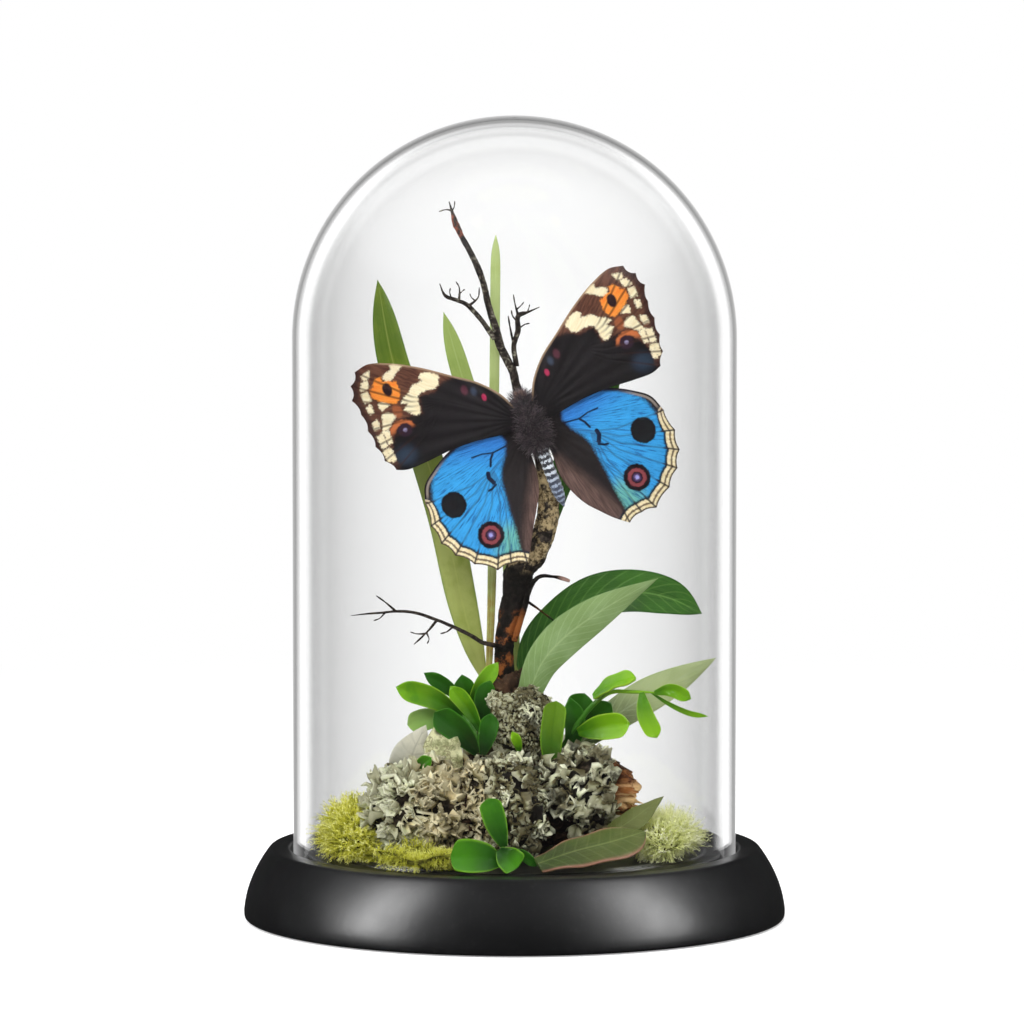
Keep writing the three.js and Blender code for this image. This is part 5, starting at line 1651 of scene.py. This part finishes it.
def lichenMaterial():
    material, tree, shader = newMaterial("frilledLichen", Roughness=0.82)
    point = objectPoint(tree)
    x, _, z = addNode(tree, "ShaderNodeSeparateXYZ", {0: point}).outputs
    fine, cloud = speckle(tree, point, 1700.0, 4.0, 0.7), speckle(tree, point, 260.0, 4.0, 0.6)
    tip, shade = attribute(tree, "tip"), attribute(tree, "shade")
    drift = calc(tree, "ADD", x, span(tree, cloud, 0.3, 0.7, -0.003, 0.003))
    creamy = between(tree, drift, *lichenLook["creamBetween"])
    creamy = times(tree, creamy, span(tree, z, *lichenLook["creamBelow"]))
    pale, middle = (mixed(tree, creamy, *pair) for pair in zip(lichenLook["sage"], lichenLook["cream"]))
    # painted shade: near black at the roots of the frills
    tone = mixed(tree, span(tree, tip, 0.1, 0.45), lichenLook["deep"], middle)
    lit = times(tree, span(tree, tip, 0.3, 0.75), span(tree, shade, 0.1, 0.8, 0.5, 1.0))
    tone = mixed(tree, lit, tone, pale)
    tone = mixed(tree, span(tree, shade, 0.78, 0.97, 0.0, 0.35), tone, "#8f8a5c")
    tone = mixed(tree, span(tree, fine, 0.52, 0.78, 0.0, 0.35), tone, middle)
    shadowy = calc(tree, "ADD", cloud, span(tree, x, -0.004, 0.003, 0.0, 0.09))
    tone = mixed(tree, span(tree, shadowy, 0.56, 0.66, 0.0, 0.85), tone, lichenLook["deep"])
    tone = mixed(tree, times(tree, attribute(tree, "below"), 0.6), tone, lichenLook["under"])
    paint(tree, shader, tone)
    bump(tree, shader, fine, 0.6, 0.00015)
    return material


def shadedLichenBedMaterial():
    material, tree, shader = newMaterial("shadedLichenBed", Roughness=0.9)
    # painted shade: the bed between the frills is near black, darker still in its hollows
    fine = speckle(tree, objectPoint(tree), 1100.0, 5.0, 0.7)
    tone = mixed(tree, span(tree, fine, 0.45, 0.7), "#120d09", "#4b4030")
    paint(tree, shader, mixed(tree, span(tree, attribute(tree, "relief"), -0.1, 0.4), "#0f0b08", tone))
    bump(tree, shader, fine, 0.9, 0.0003)
    return material


def splinterMesh():  # slivers standing out of the torn end
    rng = np.random.default_rng(11)
    parts = []
    for k in range(tornEnd["splinters"]):
        foot = np.array(tornEnd["middle"]) + rng.uniform(-1, 1, 3) * tornEnd["spread"]
        heading = unit(np.array((1.0, rng.uniform(-0.35, 0.25), rng.uniform(-0.35, 0.35))))
        length, wide, deep = rng.uniform(1.6, 3.0), rng.uniform(0.7, 1.5), rng.uniform(0.3, 0.7)
        side = unit(np.cross(heading, (0, rng.uniform(-1, 1), 1)))
        up = np.cross(side, heading)
        rings = []
        for t in np.linspace(0, 1, 5):
            taper = max(0.08, (1 - t) ** 0.6) * (1 + 0.25 * rng.uniform(-1, 1))
            centre = foot + heading * length * t
            rings.append(
                [centre + taper * (a * wide * side + b * deep * up) for a,
                 b in ((1, 0), (0.3, 1), (-1, 0.2), (-0.2, -1))]
            )
        parts.append(faceOutwards(ringMesh(f"splinter_{k}", rings)))
    mesh = joinMeshes("splinters", parts)
    mesh.shade_flat()
    storeValues(mesh, "relief", np.full(len(mesh.vertices), 0.3))
    return mesh


def makeLog(bark, frill, lobes):
    mesh = roughened("bark_log", **logRelief)
    reach, high = tornEnd["tip"]
    thin, full = logCrust["bare"]
    cover = []
    for vertex in mesh.vertices:
        x, y, z = vertex.co / mm
        if x > tornEnd["from"]:
            limit = reach - tornEnd["below"] * max(0, high - z) - tornEnd["above"] * max(0, z - high)
            vertex.co.x = min(
                x, limit - tornEnd["bite"] * abs(fractal((0, y * 0.5, z * 0.8), 1.0, 4, 3))
            ) * mm
        outside = y < logCrust["front"] or z > logCrust["top"]
        grows = outside and x < logCrust["clearFrom"] and z > logCrust["lowest"]
        bare = thin if x > logCrust["sparseFrom"] else full
        cover.append(float(grows and noise.noise(Vector((x, y, z)) * 0.3) > bare))
    storeValues(mesh, "cover", cover)
    mesh.materials.append(bark)
    mesh = scattered(mesh, lobes, frill, logCrust["spread"])
    splinters = splinterMesh()
    splinters.materials.append(bark)
    both = joinMeshes("log", [mesh, splinters])
    for material in mesh.materials:
        both.materials.append(material)
    addPiece("bark_log_rough", both, None, "bark", "bark_log")


lobe = {
    "line": [(-10, -11.4, 24.6), (-11.2, -12.4, 28.2), (-12.7, -11.8, 31.8)],
    "width": 5.8, "root": 0.7, "peak": 0.55, "blunt": 1.5, "fold": 0.3, "thickness": 0.8, "wave": 0.4,
}
lobeSpots = ((-0.0137, -0.0125, 0.0310), (-0.0119, -0.0120, 0.0312))  # two dark dots on the lobe, in metres


def lobeMaterial():
    material, tree, shader = newMaterial("wrinkledLobe", Roughness=0.75)
    point = objectPoint(tree)
    fine = speckle(tree, point, 700.0, 5.0, 0.7)
    tone = mixed(tree, span(tree, fine, 0.35, 0.62), "#8a8e60", "#e4e3b4")
    # painted shade: darker lines along the lobe's wrinkles
    creaseShade = calc(tree, "ABSOLUTE", calc(tree, "SUBTRACT", speckle(tree, point, 420.0, 2.0), 0.5))
    tone = mixed(tree, span(tree, creaseShade, 0.0, 0.03, 0.7, 0.0), tone, "#77704c")
    for middle in lobeSpots:
        off = addNode(tree, "ShaderNodeVectorMath", {0: point, 1: middle},
                      operation="DISTANCE").outputs["Value"]
        tone = mixed(tree, span(tree, off, 0.0004, 0.0009, 0.8, 0.0), tone, "#3f3a24")
    paint(tree, shader, tone)
    bump(tree, shader, fine, 0.9, 0.0005)
    return material


def makeWoodAndLichen():
    bark, bed, frill = barkMaterial(), shadedLichenBedMaterial(), lichenMaterial()
    broad = [lobeMesh("broad", s, 0.45, 0.95, 0.2) for s in range(4)]
    ruffled = [ruffleMesh("ruffled", s, (0.18 * (s % 3), 0.7), 0.62) for s in range(5)]
    crumbs = [ruffleMesh("crumb", s + 6, (0.55, 0.5), 0.5) for s in range(3)]
    families = {"broad": [*broad, *ruffled[:2]], "ruffled": ruffled, "mixed": [*broad[:3], *ruffled[:3]],
                "crumbs": crumbs}
    makeLog(bark, frill, families["mixed"])
    addPiece("wood_stump_rough", roughened("wood_stump", **stumpRelief), bark, "bark", "wood_stump")
    for name, sizes in lichenPieces.items():
        growth = {key: sizes[key] for key in ("inset", "patchy", "gaps")}
        mesh = roughened(name, seed=sizes["spread"]["Seed"], **growth, **lichenRelief)
        if "drawnIn" in sizes:
            start, share = sizes["drawnIn"]
            for vertex in mesh.vertices:
                vertex.co.x = min(vertex.co.x, start + share * max(0, vertex.co.x - start))
            mesh.update()
        mesh.materials.append(bed)
        frills = scattered(mesh, families[sizes["family"]], frill, sizes["spread"])
        addPiece(f"{name}_frills", frills, None, "lichen", name)
    addPiece("lichen_lobe_frill", bladeMesh("lichen_lobe", lobe, 3), lobeMaterial(), "lichen", "lichen_lobe")


mossPieces = {
    "moss_left": {"Density": 6.5e6, "Smallest": 0.0016, "Largest": 0.0042, "Lean": 0.5, "Seed": 8},
    "moss_front": {"Density": 6.5e6, "Smallest": 0.0012, "Largest": 0.0026, "Lean": 0.5, "Seed": 3},
    "moss_right": {"Density": 6.5e6, "Smallest": 0.0016, "Largest": 0.0040, "Lean": 0.4, "Seed": 2},
    "moss_back": {"Density": 2.2e6, "Smallest": 0.0020, "Largest": 0.0044, "Lean": 0.5, "Seed": 10},
}
mossLooks = {
    "moss_left": ("#b3b83c", "#efec58", "#ffffa4"),
    "moss_front": ("#8f8c2c", "#dcdc4c", "#fafa8c"),
    "moss_right": ("#e6ec98", "#fbffb4", "#ffffe0"),
    "moss_back": ("#8f9a38", "#d8e260", "#f8fb9c"),
}


def strandMesh(name, seed, leaflets=8):  # one moss shoot, 1 long, with small pointed leaflets
    work = bmesh.new()
    bend = 0.18 * math.sin(seed * 2.3)

    def stalk(t):
        return Vector((bend * t * t, 0.12 * math.sin(seed) * t, t))

    def wedge(foot, end, width, turn):
        side = Vector((math.cos(turn), math.sin(turn), 0)) * width
        thick = (end - foot).cross(side).normalized() * width * 0.4
        corners = [work.verts.new(p) for p in (foot + side, foot - side, foot + thick, end)]
        for a, b, c in ((0, 2, 1), (0, 1, 3), (1, 2, 3), (2, 0, 3)):
            work.faces.new((corners[a], corners[b], corners[c]))

    wedge(stalk(0), stalk(1), 0.03, 0.4)
    for k in range(leaflets):
        t = 0.2 + 0.78 * k / leaflets
        turn = k * 2.4 + seed
        out = Vector((math.cos(turn), math.sin(turn), 1.1)) * 0.26 * (1.2 - t)
        wedge(stalk(t), stalk(t) + out, 0.03, turn + math.pi / 2)
    bmesh.ops.recalc_face_normals(work, faces=work.faces)
    mesh = bpy.data.meshes.new(name)
    work.to_mesh(mesh)
    work.free()
    storeValues(mesh, "tip", [min(1, v.co.length) for v in mesh.vertices])
    return mesh


def mossMaterial(name, deep, middle, tipColour):
    material, tree, shader = newMaterial(name, Roughness=0.7)
    tip, shade = attribute(tree, "tip"), attribute(tree, "shade")
    tone = mixed(tree, span(tree, tip, 0.0, 0.6), deep, middle)
    tone = mixed(tree, span(tree, tip, 0.5, 1.0), tone, tipColour)
    tone = mixed(tree, span(tree, shade, 0.6, 1.0, 0.0, 0.5), tone, middle)
    cloud = speckle(tree, objectPoint(tree), 300.0, 3.0)
    tone = mixed(tree, span(tree, cloud, 0.5, 0.68, 0.0, 0.5), tone, deep)
    paint(tree, shader, tone)
    return material


def makeMoss():
    bed, tree, shader = newMaterial("mossBed", Roughness=0.9)
    fine = speckle(tree, objectPoint(tree), 900.0, 5.0, 0.7)
    paint(tree, shader, mixed(tree, span(tree, fine, 0.4, 0.65), "#3f3a12", "#a3a63c"))
    bump(tree, shader, fine, 0.9, 0.0004)
    strands = [strandMesh("shoot", s) for s in range(5)]
    for name, sizes in mossPieces.items():
        material = mossMaterial(f"{name}_tips", *mossLooks[name])
        mesh = roughened(name, seed=sizes["Seed"], **mossRelief)
        mesh.materials.append(bed)
        addPiece(f"{name}_shoots", scattered(mesh, strands, material, sizes), None, "moss", name)


veinGroup()
makeLeaves()
print("leaves done")
makeTwigs()
print("twigs done")
makeWoodAndLichen()
print("wood and lichen done")
makeMoss()
print("moss done")
